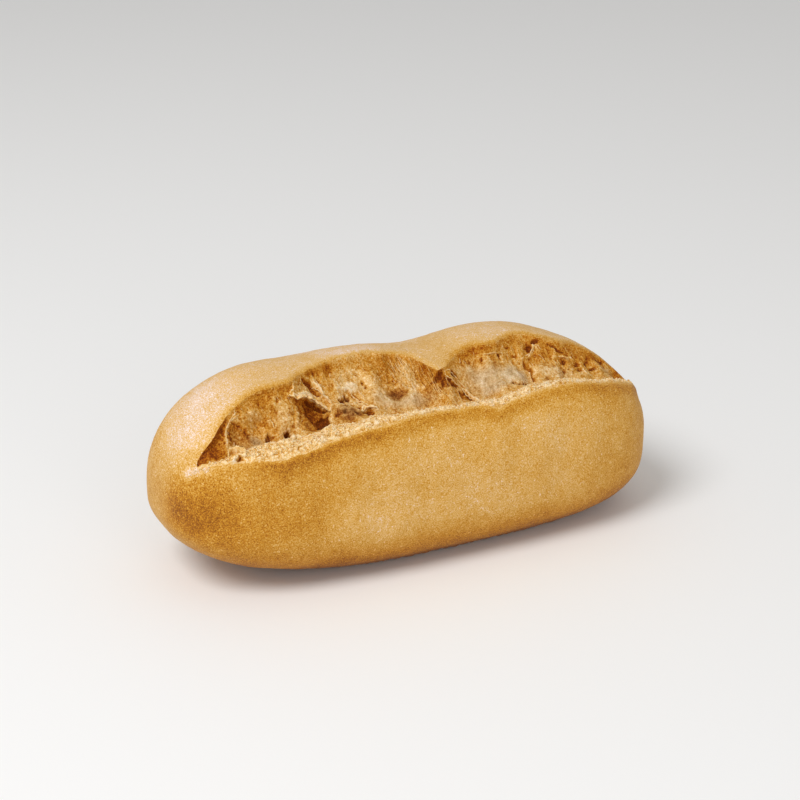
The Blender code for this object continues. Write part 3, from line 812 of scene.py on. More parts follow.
def smoothed(field, reach):
    """A grid of values, each averaged with this many neighbours all round."""
    for axis in (0, 1):
        pad = [(reach + 1, reach) if k == axis else (0, 0) for k in range(field.ndim)]
        total = np.cumsum(np.pad(field, pad, mode="edge"), axis=axis)
        size = total.shape[axis]
        after = np.take(total, range(2 * reach + 1, size), axis=axis)
        before = np.take(total, range(size - 2 * reach - 1), axis=axis)
        field = (after - before) / (2 * reach + 1)
    return field


first, last = np.flatnonzero(torn)[[0, -1]] + (-1, 1)
steps = np.linspace(first, last, strips * (last - first) + 1)


def along_lip(line, steps):
    """Points at part steps along a line of stations."""
    whole = np.arange(len(line))
    return np.stack([np.interp(steps, whole, line[:, k]) for k in range(3)], axis=1)


# The crumb starts on the lips' own ragged lines and calms down away from them.
front_edge, back_edge = along_lip(crust[:, -1], steps), along_lip(crust[:, 0], steps)
calm_reach = 9  # steps that the calm lines are averaged over, each way
calm_front = smoothed(front_edge[:, None], calm_reach)[:, 0]
calm_back = smoothed(back_edge[:, None], calm_reach)[:, 0]
ends = np.minimum(np.arange(len(steps)), np.arange(len(steps))[::-1])
calm_share = np.clip(ends / (2 * calm_reach), 0, 1)[:, None]
calm_front = front_edge + calm_share * (calm_front - front_edge)
calm_back = back_edge + calm_share * (calm_back - back_edge)

chord = calm_back - calm_front
tear_width = np.linalg.norm(chord, axis=1)
tear_width[[0, -1]] = tear_width[[1, -2]]
chord_up = np.stack([np.zeros(len(steps)), -chord[:, 2], chord[:, 1]], axis=1)
chord_up /= np.maximum(np.linalg.norm(chord_up, axis=1, keepdims=True), 1e-9)
chord_along = chord / tear_width[:, None]
across = np.linspace(0, 1, crumb_rows + 1)
share = np.broadcast_to(across, (len(steps), crumb_rows + 1))
calm_zone = 1.2 * mm  # how soon the ragged lines calm down
hug = (tear_width / calm_zone)[:, None]
lip_part = ((1 - share) ** hug)[:, :, None] * (front_edge - calm_front)[:, None]
lip_part = lip_part + (share**hug)[:, :, None] * (back_edge - calm_back)[:, None]
flat_crumb = calm_front[:, None] + share[:, :, None] * chord[:, None] + lip_part

station_x = flat_crumb[:, 0, 0]
along_s = share * tear_width[:, None]  # distance from the front lip
to_back = tear_width[:, None] - along_s
# Forms are placed by these two distances, which wander a little, as nothing torn is regular.
wander_along = ((0.55 * mm, 2.4 * mm, 77), (0.34 * mm, 0.9 * mm, 78))
wander_across = ((0.55 * mm, 2.4 * mm, 79), (0.34 * mm, 0.9 * mm, 80))
along_x = flat_crumb[:, :, 0] + layered(flat_crumb, wander_along)
form_s = along_s + layered(flat_crumb, wander_across)


def on_tear(x, v):
    """A place given in millimetres along and as a share across, as distances along and across."""
    return x * mm, v * np.interp(x * mm, station_x, tear_width)


def hollow_shape(x, v, reach_along, reach_across, turn, size):
    """1 in the middle of a hollow or lobe, 0 outside it. A deep one has a steeper side."""
    at_x, at_s = on_tear(x, v)
    c, s = np.cos(np.radians(turn)), np.sin(np.radians(turn))
    dx, ds = along_x - at_x, form_s - at_s
    a = (c * dx - s * ds) / (reach_along * mm)
    b = (s * dx + c * ds) / (reach_across * mm)
    steepness = 2.0 + 0.8 * size
    return np.exp(-(np.hypot(a, b) ** steepness))


def outline_shape(outline, edge_width):
    """1 inside an outline, 0 outside it, and a change this wide in mm between the two."""
    corners = np.array([on_tear(x, v) for x, v in outline])
    inside = np.zeros(along_x.shape, bool)
    nearest = np.full_like(along_x, 1.0)
    for start, end in zip(corners, np.roll(corners, -1, axis=0)):
        aim = end - start
        if aim[1] != 0:
            crossing = start[0] + (form_s - start[1]) * aim[0] / aim[1]
            inside ^= ((start[1] > form_s) != (end[1] > form_s)) & (along_x < crossing)
        t = ((along_x - start[0]) * aim[0] + (form_s - start[1]) * aim[1]) / (aim @ aim)
        t = np.clip(t, 0, 1)
        gap = np.hypot(along_x - start[0] - t * aim[0], form_s - start[1] - t * aim[1])
        nearest = np.minimum(nearest, gap)
    signed = np.where(inside, nearest, -nearest)
    outside_share = 0.3  # of the edge's width, with the rest inside the outline
    return ramp(signed, -outside_share * edge_width * mm, (1 - outside_share) * edge_width * mm)


def pleat_shape(path, reach):
    """1 on a fold's crest, and less towards its two ends and its sides."""
    nearest, place = np.full_like(along_x, 9.0), np.zeros_like(along_x)
    points = np.array([on_tear(x, v) for x, v in path])
    runs = np.linalg.norm(np.diff(points, axis=0), axis=1)
    starts = np.concatenate([[0], np.cumsum(runs)])
    for start, end, run, before in zip(points[:-1], points[1:], runs, starts[:-1]):
        aim = (end - start) / run
        t = np.clip((along_x - start[0]) * aim[0] + (form_s - start[1]) * aim[1], 0, run)
        gap = np.hypot(along_x - start[0] - t * aim[0], form_s - start[1] - t * aim[1])
        closer = gap < nearest
        nearest = np.where(closer, gap, nearest)
        place = np.where(closer, (before + t) / starts[-1], place)
    return bell(nearest, reach * mm) * np.sin(np.pi * (0.15 + 0.7 * place))


# The plain valley, and the edge of the ledge, which is torn in small bites.
ledge_bites = ((0.20, 4.0 * mm, 81), (0.06, 1.2 * mm, 82))
bite_fade = 0.10
band = np.clip(smooth_line(station_x, band_width) / tear_width, least_band, most_band)
past_band = 1.1 * band[:, None]
bites = layered(flat_crumb, ledge_bites) * band[:, None]
bites *= 1 - ramp(share, past_band, past_band + bite_fade)
torn_share = share + bites * ramp(share, 0, 0.6 * band[:, None])
valley = np.zeros_like(along_x)
for k in range(len(steps)):
    ledge = [(0.0, 0.0), (0.55 * band[k], -ledge_rise), (band[k], -0.3 * ledge_rise)]
    foot = [(band[k] + 0.5 * (valley_place - band[k]), 0.80 * valley_depth)]
    profile = ledge + foot + [(valley_place, valley_depth), *wall, (1.0, 0.0)]
    valley[k] = tear_width[k] * smooth_line(torn_share[k], profile)
shallower, deep_end, shallow_end = 0.60, -55 * mm, -61 * mm  # at the left end
valley *= 1 - shallower * ramp(station_x, deep_end, shallow_end)[:, None]

sunk, toast_and_shade = np.zeros_like(along_x), np.zeros_like(along_x)
grey = np.zeros_like(along_x)
for x, v, reach_along, reach_across, turn, depth, browner, greyer in hollows:
    shape = hollow_shape(x, v, reach_along, reach_across, turn, depth)
    sunk = np.maximum(sunk, depth * mm * shape)
    toast_and_shade = np.maximum(toast_and_shade, browner * shape)
    grey += greyer * shape
raised = np.zeros_like(along_x)
for outline, edge_width, depth, browner, greyer in outlines:
    shape = outline_shape(outline, edge_width)
    sunk = np.maximum(sunk, depth * mm * shape)
    raised = np.maximum(raised, -depth * mm * shape)
    if browner > 0:
        toast_and_shade = np.maximum(toast_and_shade, browner * shape)
    else:
        toast_and_shade = toast_and_shade + browner * shape
    grey += greyer * shape
forms = raised - sunk
bake = toast_and_shade.copy()
dark_hollow = np.clip(1.6 * toast_and_shade, 0, 1)  # deep brown skin is smoother
for x, v, reach_along, reach_across, turn, height, browner, greyer in lobes:
    shape = hollow_shape(x, v, reach_along, reach_across, turn, height)
    forms += height * mm * shape
    bake += browner * shape
    grey += greyer * shape
for x, v, reach_along, reach_across, turn, browner, greyer in patches:
    shape = hollow_shape(x, v, reach_along, reach_across, turn, 0)
    bake += browner * shape
    grey += greyer * shape
lean_x, lean_s = np.zeros_like(along_x), np.zeros_like(along_x)
for path, reach, height, lean_along, lean_across, paler in pleats:
    shape = pleat_shape(path, reach)
    forms += height * mm * shape
    bake -= paler * shape
    lean_x += lean_along * mm * shape
    lean_s += lean_across * mm * shape
# All of them fade out at the two lips, where the crumb meets the crust.
lip_fade = 0.9 * mm
relief = forms * ramp(np.minimum(along_s, to_back), 0, lip_fade) - valley

# Torn texture: lumps and pores, wandering with the forms and drawn out across the tear.
narrow_tear = 12 * mm  # a narrower tear has less texture
narrow = np.clip(tear_width / narrow_tear, 0, 1)[:, None]
on_ledge = 1 - ramp(torn_share, 0.8 * band[:, None], 1.25 * band[:, None])
smooth_skin = np.clip(grey, 0, 1) * (1 - on_ledge)
skin_calmer, hollow_calmer, skin_grit_calmer = 0.65, 0.7, 0.6
rough = (1 - skin_calmer * smooth_skin) * (1 - hollow_calmer * dark_hollow) * narrow
across_squeeze = 0.75  # this draws lumps and pores out by a third across the tear
torn_place = np.stack([along_x, across_squeeze * form_s, flat_crumb[:, :, 2]], axis=-1)
crumb_lumps = ((0.26 * mm, 3.4 * mm, 83), (0.14 * mm, 1.8 * mm, 84))
pores = 0.34 * mm * pocks(torn_place, 3.0 * mm, 85, least_lot=0.74, reach=0.40, fullness=0.8)
pores += 0.20 * mm * pocks(torn_place, 1.2 * mm, 86, least_lot=0.6, reach=0.45, fullness=0.8)
# Pulled fibres, which run across the tear, strongest in three places: centre and reach in mm,
# strength.
fibre_height, least_fibres = 0.13 * mm, 0.30
fibre_length = 7  # times a fibre's width
fibre_places = ((-45.0, 6.0, 0.25), (2.0, 6.5, 0.9), (50.0, 8.0, 0.35))
fibre_slant, fibre_bend = 0.25, ((1.4 * mm, 6 * mm, 87),)
fibre_strands = ((1.0, 0.75 * mm, 88), (0.7, 0.42 * mm, 89))
slanted = along_x + fibre_slant * along_s + layered(flat_crumb, fibre_bend)
lengthways = [along_s / fibre_length, flat_crumb[:, :, 2] / fibre_length]
strand_place = np.stack([slanted, *lengthways], axis=-1)
fibres = np.zeros_like(along_x)
for height, size, seed in fibre_strands:
    fibres += height * (1 - 2 * np.abs(grain(strand_place, size, seed)))
fibre_share = np.full_like(along_x, least_fibres)
for centre, reach, strength in fibre_places:
    fibre_share += strength * bell(along_x - centre * mm, reach * mm) * ramp(share, 0.3, 0.6)
fibres *= fibre_share * (1 - on_ledge)
# A fine grain everywhere, and round granules on the ledge.
crumb_grit = ((0.17 * mm, 0.9 * mm, 90), (0.12 * mm, 0.5 * mm, 97))
ledge_grit = ((0.22 * mm, 0.55 * mm, 92), (0.22 * mm, 2.2 * mm, 98))
granule_height, granule_size = 0.55 * mm, 1.0 * mm
near, lot = bubbles(flat_crumb, granule_size, 91)
granules = granule_height * (0.45 - near) * (0.4 + lot) + layered(flat_crumb, ledge_grit)
toast_and_shade_calmer = 0.8
granules *= 1 - toast_and_shade_calmer * np.clip(2 * toast_and_shade, 0, 1)
texture = rough * (layered(torn_place, crumb_lumps) - pores + fibre_height * fibres)
texture += (1 - skin_grit_calmer * smooth_skin) * layered(flat_crumb, crumb_grit)
texture = (1 - on_ledge) * texture + on_ledge * granules
# The texture and the slow swells of the dough fade out towards the lips too.
front_fade, back_fade = 1.0 * mm, 3.0 * mm
at_lips = ramp(along_s, 0, front_fade) * ramp(to_back, 0, back_fade)
crumb_swells = ((0.5 * mm, 10 * mm), (0.2 * mm, 5 * mm))
swell_fade = np.clip(4 * np.minimum(share, 1 - share), 0, 1) * narrow
relief += at_lips * texture + swell_fade * dough_swells(flat_crumb, crumb_swells, 21)
# Leaning pleats slide sideways, and so do the granules of the ledge.
granules_along, granules_across = ((0.18 * mm, 0.7 * mm, 93),), ((0.22 * mm, 0.7 * mm, 94),)
slide_x = at_lips * (lean_x + on_ledge * layered(flat_crumb, granules_along))
slide_s = at_lips * (lean_s + on_ledge * layered(flat_crumb, granules_across))
crumb = flat_crumb + relief[:, :, None] * chord_up[:, None] + slide_s[:, :, None] * chord_along[:, None]
crumb[:, :, 0] += slide_x

# Crests are painted paler and pits browner: painted light on the crests and painted shade in the pits.
crumb_bake, crest_light_pit_shade = 0.42, 0.65
crest_reach, most_crest = 4, 0.4
crest = np.clip((relief - smoothed(relief, crest_reach)) / mm, -most_crest, most_crest)
bake += crumb_bake - crest_light_pit_shade * crest
# The strip below the back lip is amber, and the wall near it a little browner.
amber_browner, amber_clouds = 0.03, ((0.08, 3.5 * mm, 101),)
amber_place, amber_reach = 0.8 * mm, 1.5 * mm
wall_browner, wall_reach = 0.09, 7 * mm
amber = amber_browner + layered(flat_crumb, amber_clouds)
bake += amber * bell(to_back - amber_place, amber_reach)
bake += wall_browner * bell(to_back, wall_reach)
# So are the scoop at the left end and the upper wall on the right.
scoop_browner, right_wall_browner = 0.12, 0.08
bake += scoop_browner * ramp(-along_x, 58 * mm, 61 * mm)
bake += right_wall_browner * ramp(along_x, 32 * mm, 52 * mm) * ramp(share, 0.55, 0.8)
# Cloudy, with paler fibres, and calmer near the back lip.
crumb_clouds = ((0.08, 5 * mm, 95), (0.14, 2.0 * mm, 96), (0.16, 0.9 * mm, 99))
fibre_paler, least_uneven = 0.13, 0.35
uneven = layered(flat_crumb, crumb_clouds) - fibre_paler * fibres
bake += uneven * (least_uneven + (1 - least_uneven) * ramp(to_back, 0.8 * mm, 4.0 * mm))
# The ledge has tones of its own: yellow cream with whiter bits.
# Its crests are painted paler and its dips browner, as painted light and shade, and its pit is browner
# with painted shade.
ledge_bake, ledge_crest_light_pit_shade, ledge_pit_toast_and_shade = 0.23, 0.85, 1.1
ledge_clouds = ((0.22, 1.5 * mm, 100),)
granular = ledge_bake - ledge_crest_light_pit_shade * crest + layered(flat_crumb, ledge_clouds)
granular += ledge_pit_toast_and_shade * np.clip(toast_and_shade, 0, 1)
bake = np.clip((1 - on_ledge) * bake + on_ledge * granular, 0, 1)
crumb_greyness, ledge_greyness, white_size = 0.75, 0.5, 3.6 * mm
white_bits = ramp(grain(flat_crumb, white_size, 104), 0.10, 0.50)
ledge_grey = ledge_greyness * white_bits * (1 - np.clip(2 * toast_and_shade, 0, 1))
grey = crumb_greyness * grey * (1 - on_ledge) * ramp(to_back, 1 * mm, 5 * mm)
grey = np.clip(grey + ledge_grey * on_ledge, 0, 1)

crumb_tones = (
    (0.00, (0.880, 0.680, 0.410)),
    (0.22, (0.750, 0.485, 0.190)),
    (0.42, (0.610, 0.325, 0.072)),
    (0.53, (0.550, 0.245, 0.028)),
    (0.65, (0.445, 0.168, 0.009)),
    (0.82, (0.310, 0.076, 0.002)),
    (1.00, (0.140, 0.027, 0.001)),
)
grey_tones = (
    (0.00, (0.820, 0.680, 0.490)),
    (0.25, (0.650, 0.480, 0.280)),
    (0.50, (0.450, 0.285, 0.125)),
    (0.75, (0.250, 0.130, 0.040)),
    (1.00, (0.110, 0.042, 0.008)),
)

open_crumb, shader = new_finish(
    "open crumb",
    {
        "Roughness": 0.80,
        "Specular IOR Level": 0.12,
        "Subsurface Weight": 0.10,
        "Subsurface Radius": (1.0, 0.55, 0.25),
        "Subsurface Scale": 0.5 * mm,
    },
)
place = add_node(open_crumb, "ShaderNodeTexCoord").outputs["Object"]
baked = mesh_value(open_crumb, "bake")
greyed = mesh_value(open_crumb, "grey")
spotted = mottle(open_crumb, place, 0.9 * mm, 0.18, baked)
spotted = mottle(open_crumb, place, 0.40 * mm, 0.52, spotted)
# The smooth, greyer skins are less spotted than the torn crumb.
calm = mottle(open_crumb, place, 0.40 * mm, 0.34, baked)
baked = blend(open_crumb, "FLOAT", greyed, spotted, calm)
warm = colour_ramp(open_crumb, baked, crumb_tones)
cool = colour_ramp(open_crumb, baked, grey_tones)
colour = blend(open_crumb, "RGBA", greyed, warm, cool)
open_crumb.node_tree.links.new(colour, shader.inputs["Base Color"])
fine_bump(open_crumb, shader, place, 0.30 * mm, 0.10 * mm, 0.5)

inner = slice(1, -1)
count = len(steps) - 2
number = np.arange(count * (crumb_rows + 1)).reshape(count, crumb_rows + 1)
crumb_points = np.concatenate([crumb[inner].reshape(-1, 3), front_edge[:1], front_edge[-1:]])
looks = {
    "bake": np.concatenate([bake[inner].ravel(), [0.3, 0.3]]),
    "grey": np.concatenate([grey[inner].ravel(), [0.0, 0.0]]),
}
tips = number.size
crumb_faces = quads_of(number) + fans_of(number, tips, tips + 1)
crumb_piece = bread_piece("torn_crumb", crumb_points, crumb_faces, looks, open_crumb)
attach(crumb_piece, "root")
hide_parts("loaf")

# ---- The thin skins -------------------------------------------------------------------------
# Films of stretched crumb between the bubbles, dried by the oven as the tear opened. Each is
# rooted in the torn crumb, leans over and ends in a thin, pale, slightly ragged free edge.
skin_rows = 7  # points from the root to the free edge
skin_step = 0.15 * mm  # and one row of them at each such step along the path
skin_root, skin_edge = 0.24 * mm, 0.10 * mm  # half of the thickness
skin_depth = 0.3 * mm  # how far the root reaches into the crumb
bow_share, sway_reach = 0.35, 0.25 * mm  # how far the free edge bows down and wavers
skin_ragged = ((0.4, 1.6 * mm), (0.2, 0.5 * mm))  # shares of the height, sizes of the rags

# A path (x in mm, place across), then the height in mm, the lean along and across as shares of
# the height, how baked the free edge is.
skins = (
    (((-38.8, 0.89), (-37.0, 0.835), (-33.5, 0.805), (-31.7, 0.77), (-30.2, 0.72), (-28.9, 0.665),
      (-27.8, 0.615), (-26.4, 0.57)), 1.2, 0.1, -1.2, 0.24),  # the curtain over the cave
    (((-29.2, 0.86), (-27.6, 0.80), (-26.9, 0.73), (-26.0, 0.69), (-25.4, 0.63)), 0.7, -0.5, -0.3, 0.20),
    (((-55.0, 0.93), (-57.0, 0.88), (-58.8, 0.81), (-59.2, 0.70), (-59.4, 0.56), (-59.6, 0.46)),
     0.5, -0.3, -0.1, 0.20),  # the rim of the left bubble
    (((-61.0, 0.10), (-60.7, 0.25), (-59.4, 0.27), (-57.7, 0.21), (-55.8, 0.12)),
     2.4, 0.0, 0.5, 0.22),  # the face of the block at the left end of the ledge
    (((9.0, 0.955), (11.0, 0.92), (12.9, 0.82), (14.5, 0.68), (15.6, 0.57), (17.1, 0.42)),
     0.5, -0.3, -0.4, 0.24),  # the upper web below the tongue
    (((8.9, 0.88), (11.1, 0.765), (13.3, 0.66), (14.4, 0.55), (15.6, 0.45), (16.6, 0.32), (17.3, 0.16)),
     0.8, -0.5, -0.4, 0.20),  # and the lower one, which runs on to the nick
    (((-18.0, 0.71), (-16.9, 0.66), (-16.1, 0.61), (-15.3, 0.55), (-14.6, 0.49)), 0.7, -0.5, -0.2, 0.14),
    (((-17.2, 0.46), (-15.9, 0.50), (-14.4, 0.48), (-13.3, 0.44)), 0.7, 0.1, -0.8, 0.18),
    (((-22.6, 0.59), (-21.0, 0.60), (-19.6, 0.59), (-18.4, 0.60)), 0.5, 0.0, 0.3, 0.30),
    (((38.8, 0.77), (40.4, 0.80), (41.8, 0.845), (42.4, 0.90)), 0.7, -0.3, -0.3, 0.16),
    (((42.4, 0.90), (43.4, 0.905), (44.2, 0.87)), 0.6, 0.0, -0.4, 0.20),
    (((56.4, 0.64), (55.6, 0.60), (55.7, 0.54), (56.6, 0.50)), 0.8, 0.2, 0.1, 0.12),
    (((37.2, 0.43), (37.6, 0.52), (38.0, 0.58), (37.2, 0.64)), 0.5, -0.4, 0.0, 0.22),
    (((49.2, 0.83), (50.8, 0.82), (52.4, 0.79)), 0.6, 0.0, -0.5, 0.22),
    (((24.0, 0.90), (26.6, 0.905), (29.0, 0.90), (31.0, 0.88)), 0.5, 0.0, -0.4, 0.30),
    (((-46.8, 0.66), (-45.6, 0.62), (-45.2, 0.54)), 0.5, 0.3, 0.0, 0.22),
)


def at_crumb(field, x, v):
    """The torn crumb's points or values at places given in metres along and as a share across."""
    column = np.clip(np.interp(x, station_x, np.arange(len(station_x))), 0, len(station_x) - 1.001)
    row = np.clip(np.asarray(v) * crumb_rows, 0, crumb_rows - 0.001)
    i, j = column.astype(int), row.astype(int)
    a, b = column - i, row - j
    if field.ndim == 3:
        a, b = a[..., None], b[..., None]
    near_row = field[i, j] * (1 - a) + field[i + 1, j] * a
    far_row = field[i, j + 1] * (1 - a) + field[i + 1, j + 1] * a
    return near_row * (1 - b) + far_row * b


def at_station(ways, x):
    """A direction that each station of the tear has, at places in metres along."""
    return np.stack([np.interp(x, station_x, ways[:, k]) for k in range(3)], axis=-1)


def unit(vectors):
    """The same directions, each with a length of 1."""
    return vectors / np.maximum(np.linalg.norm(vectors, axis=-1, keepdims=True), 1e-9)


def smooth_path(path, step):
    """A path of (x, place across) as many points, evenly spread, with its corners rounded."""
    points = np.array(path) * (mm, 1)
    width = np.interp(points[:, 0], station_x, tear_width)
    runs = np.hypot(np.diff(points[:, 0]), np.diff(points[:, 1] * width))
    run = np.concatenate([[0], np.cumsum(runs)])
    even = np.linspace(0, run[-1], int(run[-1] / step) + 2)
    line = np.stack([np.interp(even, run, points[:, k]) for k in (0, 1)], axis=1)
    round_reach = 0.5 * mm
    reach = max(1, int(round_reach / step))
    padded = np.pad(line, ((reach, reach), (0, 0)), mode="reflect", reflect_type="odd")
    kernel = np.ones(2 * reach + 1) / (2 * reach + 1)
    return np.stack([np.convolve(padded[:, k], kernel, mode="valid") for k in (0, 1)], axis=1)


def closed_tube(ring):
    """Points and faces of a run of closed rings, (ring, point, xyz), with flat ends."""
    number = np.arange(ring.shape[0] * ring.shape[1]).reshape(ring.shape[:2])
    closed = np.concatenate([number, number[:, :1]], axis=1)
    faces = quads_of(closed) + [number[0, ::-1].tolist(), number[-1].tolist()]
    return ring.reshape(-1, 3), faces


def skin_sheet(path, height, lean_along, lean_across, edge_bake, seed):
    """Points, faces and bake of one film, closed all round."""
    line = smooth_path(path, skin_step)
    root = at_crumb(crumb, line[:, 0], line[:, 1])
    up, inward = at_station(chord_up, line[:, 0]), at_station(chord_along, line[:, 0])
    rise = unit(up + lean_across * inward + lean_along * np.array([1.0, 0, 0]))
    side = unit(np.cross(unit(np.gradient(root, axis=0)), rise))
    along = np.linspace(0, 1, len(line))
    ends = np.clip(4 * np.minimum(along, 1 - along), 0, 1) ** 0.6
    rags = [(share, size, seed + k) for k, (share, size) in enumerate(skin_ragged)]
    tall = (height * mm * ends * (1 + layered(root, rags)))[:, None]
    level = np.linspace(0, 1, skin_rows)
    sway = sway_reach * grain(root, 1.6 * mm, seed + 2)[:, None] * level
    sheet = root[:, None] - (skin_depth + bow_share * tall * level**2)[:, :, None] * up[:, None]
    sheet += ((tall + skin_depth) * level)[:, :, None] * rise[:, None] + sway[:, :, None] * side[:, None]
    thick = (skin_root + (skin_edge - skin_root) * level)[None, :, None] * side[:, None]
    ring = np.concatenate([sheet + thick, (sheet - thick)[:, ::-1]], axis=1)
    root_bake = at_crumb(bake, line[:, 0], line[:, 1])[:, None]
    shade = root_bake * (1 - level) + edge_bake * level
    return *closed_tube(ring), np.concatenate([shade, shade[:, ::-1]], axis=1).ravel()


def joined(parts):
    """Several meshes as one: points, faces and bake."""
    points, faces, shades, start = [], [], [], 0
    for part_points, part_faces, part_shades in parts:
        points.append(part_points)
        faces += [[corner + start for corner in face] for face in part_faces]
        shades.append(part_shades)
        start += len(part_points)
    return np.concatenate(points), faces, np.concatenate(shades)


def loose_piece(name, parts):
    """A piece of fine crumb that rides on the loaf."""
    points, faces, shades = joined(parts)
    looks = {"bake": np.clip(shades, 0, 1), "grey": np.zeros(len(points))}
    piece = bread_piece(name, points, faces, looks, open_crumb)
    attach(piece, "root")
    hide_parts("loaf")


first_seed, seeds_each = 201, 3
films = [skin_sheet(*skin, first_seed + seeds_each * k) for k, skin in enumerate(skins)]
loose_piece("thin_skins", films)

# ---- The pulled threads ---------------------------------------------------------------------
# Strands of crumb that stretched across the tear until they snapped. They lie on the wall and
# the ledge like short hairs, most of them pointing from one lip to the other.
short_threads, long_threads = 700, 260
thread_points, thread_sides = 6, 4
too_brown, too_smooth = 0.62, 0.2  # no short one starts on browner crumb, no long one on smoother
rng = np.random.RandomState(301)


def thread(start_x, start_v, length, heading, bend, lift, radius, shade):
    """Points, faces and bake of one tapered strand that follows the crumb."""
    share = np.linspace(0, 1, thread_points)
    turn = heading + bend * (share - 0.5)
    width = np.interp(start_x, station_x, tear_width)
    x = start_x + np.cumsum(np.sin(turn)) * length / thread_points
    v = np.clip(start_v + np.cumsum(np.cos(turn)) * length / thread_points / width, 0.01, 0.99)
    up = at_station(chord_up, start_x)
    line = at_crumb(crumb, x, v) + (lift * np.sin(np.pi * share**0.8) + 0.5 * radius)[:, None] * up
    along = unit(np.gradient(line, axis=0))
    side = unit(np.cross(along, up))
    top = np.cross(side, along)
    thin = radius * (1 - 0.85 * np.abs(2 * share - 1) ** 2)
    angle = 2 * np.pi * np.arange(thread_sides) / thread_sides
    around = np.cos(angle)[None, :, None] * side[:, None] + np.sin(angle)[None, :, None] * top[:, None]
    ring = line[:, None] + thin[:, None, None] * around
    return *closed_tube(ring), np.full(thread_points * thread_sides, shade)


# Short ones stand all over the tear, but not in its darkest pits and seldom on smooth skins.
threads = []
span = station_x[(station_x > tear_left[0] + 8 * mm) & (station_x < tear_right[0] - 4 * mm)]
for _ in range(short_threads):
    start_x = rng.uniform(span[0], span[-1])
    start_v = rng.uniform(0.06, 0.90)
    length = rng.uniform(0.7, 2.4) * mm
    heading = rng.normal(-0.2, 0.5)
    bend = rng.normal(0, 0.9)
    lift = rng.uniform(0.02, 0.16) * mm
    radius = rng.uniform(0.06, 0.12) * mm
    local, smooth_here = at_crumb(bake, start_x, start_v), at_crumb(grey, start_x, start_v)
    shade = max(0.0, local - rng.uniform(0.04, 0.24))
    if local < too_brown and rng.uniform() > 1.2 * smooth_here:
        threads.append(thread(start_x, start_v, length, heading, bend, lift, radius, shade))
# Long ones lie side by side on the wall left of the tongue, where the crumb was pulled furthest.
for _ in range(long_threads):
    start_x = rng.normal(0.5, 3.8) * mm
    start_v = rng.uniform(0.42, 0.86)
    length = rng.uniform(2.0, 6.0) * mm
    radius = rng.uniform(0.07, 0.13) * mm
    lift = rng.uniform(0.02, 0.10) * mm
    shade = max(0.0, at_crumb(bake, start_x, start_v) - rng.uniform(-0.10, 0.12))
    heading = rng.normal(-0.22, 0.14)
    if at_crumb(grey, start_x, start_v) < too_smooth:
        bend = rng.normal(0, 0.3)
        threads.append(thread(start_x, start_v, length, heading, bend, lift, radius, shade))
loose_piece("pulled_threads", threads)

# ---- The loose crumbs -----------------------------------------------------------------------
# Grains of dry crumb that broke off as the loaf tore. They stick to the ledge, mostly along
# its torn inner edge, and a few lie on the crust at the left end of the tear.
ledge_grains, tip_grains = 1100, 70
pit_start, pit_end = -60.8 * mm, -55.8 * mm  # the ledge is bare round the pit at its left end
# The streak of grains where the tear runs out over the left end.
streak_start, streak_end = np.array((-66.0, -16.9, 39.7)) * mm, np.array((-71.0, -12.6, 37.0)) * mm
streak_spread = 0.35 * mm
rng = np.random.RandomState(302)

# A grain is an uneven block of 12 corners, with a face between every three that are neighbours.
golden = (1 + 5**0.5) / 2
corners = [
    np.roll((near, far, 0), turn) for turn in range(3) for far in (golden, -golden) for near in (-1, 1)
]
block_corners = unit(np.array(corners))
neighbour_gap = 1.1
block_faces = []
for trio in combinations(range(len(block_corners)), 3):
    a, b, c = block_corners[list(trio)]
    if max(np.linalg.norm(a - b), np.linalg.norm(b - c), np.linalg.norm(c - a)) < neighbour_gap:
        faces_out = np.cross(b - a, c - a) @ a > 0
        block_faces.append(list(trio) if faces_out else list(trio[::-1]))


def crumb_grain(place, radius, shade):
    """Points, faces and bake of one uneven grain of crumb."""
    stretch = rng.uniform(0.6, 1.3, 3)
    points = block_corners * (1 + rng.uniform(-0.3, 0.3, len(block_corners)))[:, None] * stretch
    return place + radius * points, block_faces, np.full(len(points), shade)


grains = []
for _ in range(ledge_grains):
    x = rng.uniform(tear_left[0] + 4 * mm, tear_right[0] - 3 * mm)
    v = np.interp(x, station_x, band) * (1.02 - 0.9 * rng.uniform() ** 2.0)
    radius = rng.uniform(0.12, 0.30) * mm
    place = at_crumb(crumb, x, v) + 0.4 * radius * at_station(chord_up, x)
    if not pit_start < x < pit_end:
        grains.append(crumb_grain(place, radius, rng.uniform(0.0, 0.22)))
skin_points = crust.reshape(-1, 3)
streak_out = unit(np.array((-0.5, -0.6, 0.55)))
for _ in range(tip_grains):
    place = streak_start + (streak_end - streak_start) * rng.uniform() ** 1.3
    place = place + rng.normal(0, streak_spread, 3)
    skin_place = skin_points[np.argmin(np.linalg.norm(skin_points - place, axis=1))]
    radius = rng.uniform(0.10, 0.24) * mm
    grains.append(crumb_grain(skin_place + 0.3 * radius * streak_out, radius, rng.uniform(0.0, 0.2)))
loose_piece("loose_crumbs", grains)

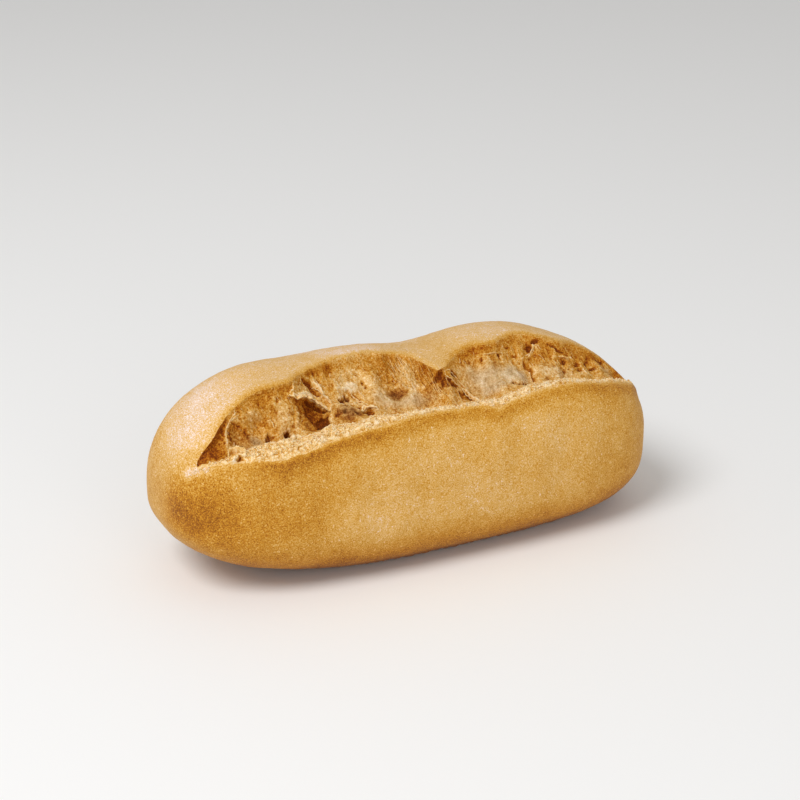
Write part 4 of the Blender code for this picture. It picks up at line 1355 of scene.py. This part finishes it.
# ---- Floor, light and camera ----------------------------------------------------------------
# A plain pale table top, a soft lamp above and to the left, and a wide one in front.
half_floor = 3.0
floor_drop = 0.2 * mm  # keeps it clear of the flat base
floor_corners = ((-1, -1, 0), (1, -1, 0), (1, 1, 0), (-1, 1, 0))
floor_data = bpy.data.meshes.new("floor")
floor_data.from_pydata(half_floor * np.array(floor_corners), [], [(0, 1, 2, 3)])
floor = bpy.data.objects.new("floor", floor_data)
floor.location.z = -floor_drop
bpy.context.scene.collection.objects.link(floor)
pale_table, _ = new_finish("pale table", {"Base Color": (0.88, 0.88, 0.88, 1), "Roughness": 0.7})
floor_data.materials.append(pale_table)

world = bpy.data.worlds.new("studio")
world.use_nodes = True
room_light = world.node_tree.nodes["Background"]
room_light.inputs["Color"].default_value = (1.0, 0.99, 0.97, 1)
room_light.inputs["Strength"].default_value = 0.50
bpy.context.scene.world = world
bpy.context.scene.view_settings.view_transform = "Standard"


def soft_lamp(name, place, aim, size, power):
    """A round lamp of a size in metres and a power in watts, aimed at a point."""
    data = bpy.data.lights.new(name, "AREA")
    data.shape = "DISK"
    data.size = size
    data.energy = power
    lamp = bpy.data.objects.new(name, data)
    lamp.location = place
    lamp.rotation_euler = (Vector(aim) - Vector(place)).to_track_quat("-Z", "Y").to_euler()
    bpy.context.scene.collection.objects.link(lamp)


middle = Vector((0, 0, 0.5 * loaf_height))
soft_lamp("key lamp", (-0.70, -0.25, 1.0), middle, 0.6, 9.0)
soft_lamp("front lamp", (-0.1, -1.4, 0.45), middle, 1.0, 4.0)

# The camera stands at the left of the loaf's front and looks down on it.
view_turn, view_tilt = np.radians(-27.5), np.radians(24.5)
view_distance = 0.56
aim_right, aim_up = 0.0002, 0.0138  # how far its aim is from the middle of the loaf
level = np.cos(view_tilt)
away = Vector((np.sin(view_turn) * level, -np.cos(view_turn) * level, np.sin(view_tilt)))
right = Vector((np.cos(view_turn), np.sin(view_turn), 0))
up = away.cross(right)
centre = Vector((0, 0, 0.025))
camera_data = bpy.data.cameras.new("camera")
camera_data.lens = 86.7
camera_data.sensor_width = 36
camera = bpy.data.objects.new("camera", camera_data)
camera.location = centre + view_distance * away
aim = centre + aim_right * right + aim_up * up
camera.rotation_euler = (aim - camera.location).to_track_quat("-Z", "Y").to_euler()
bpy.context.scene.collection.objects.link(camera)
bpy.context.scene.camera = camera
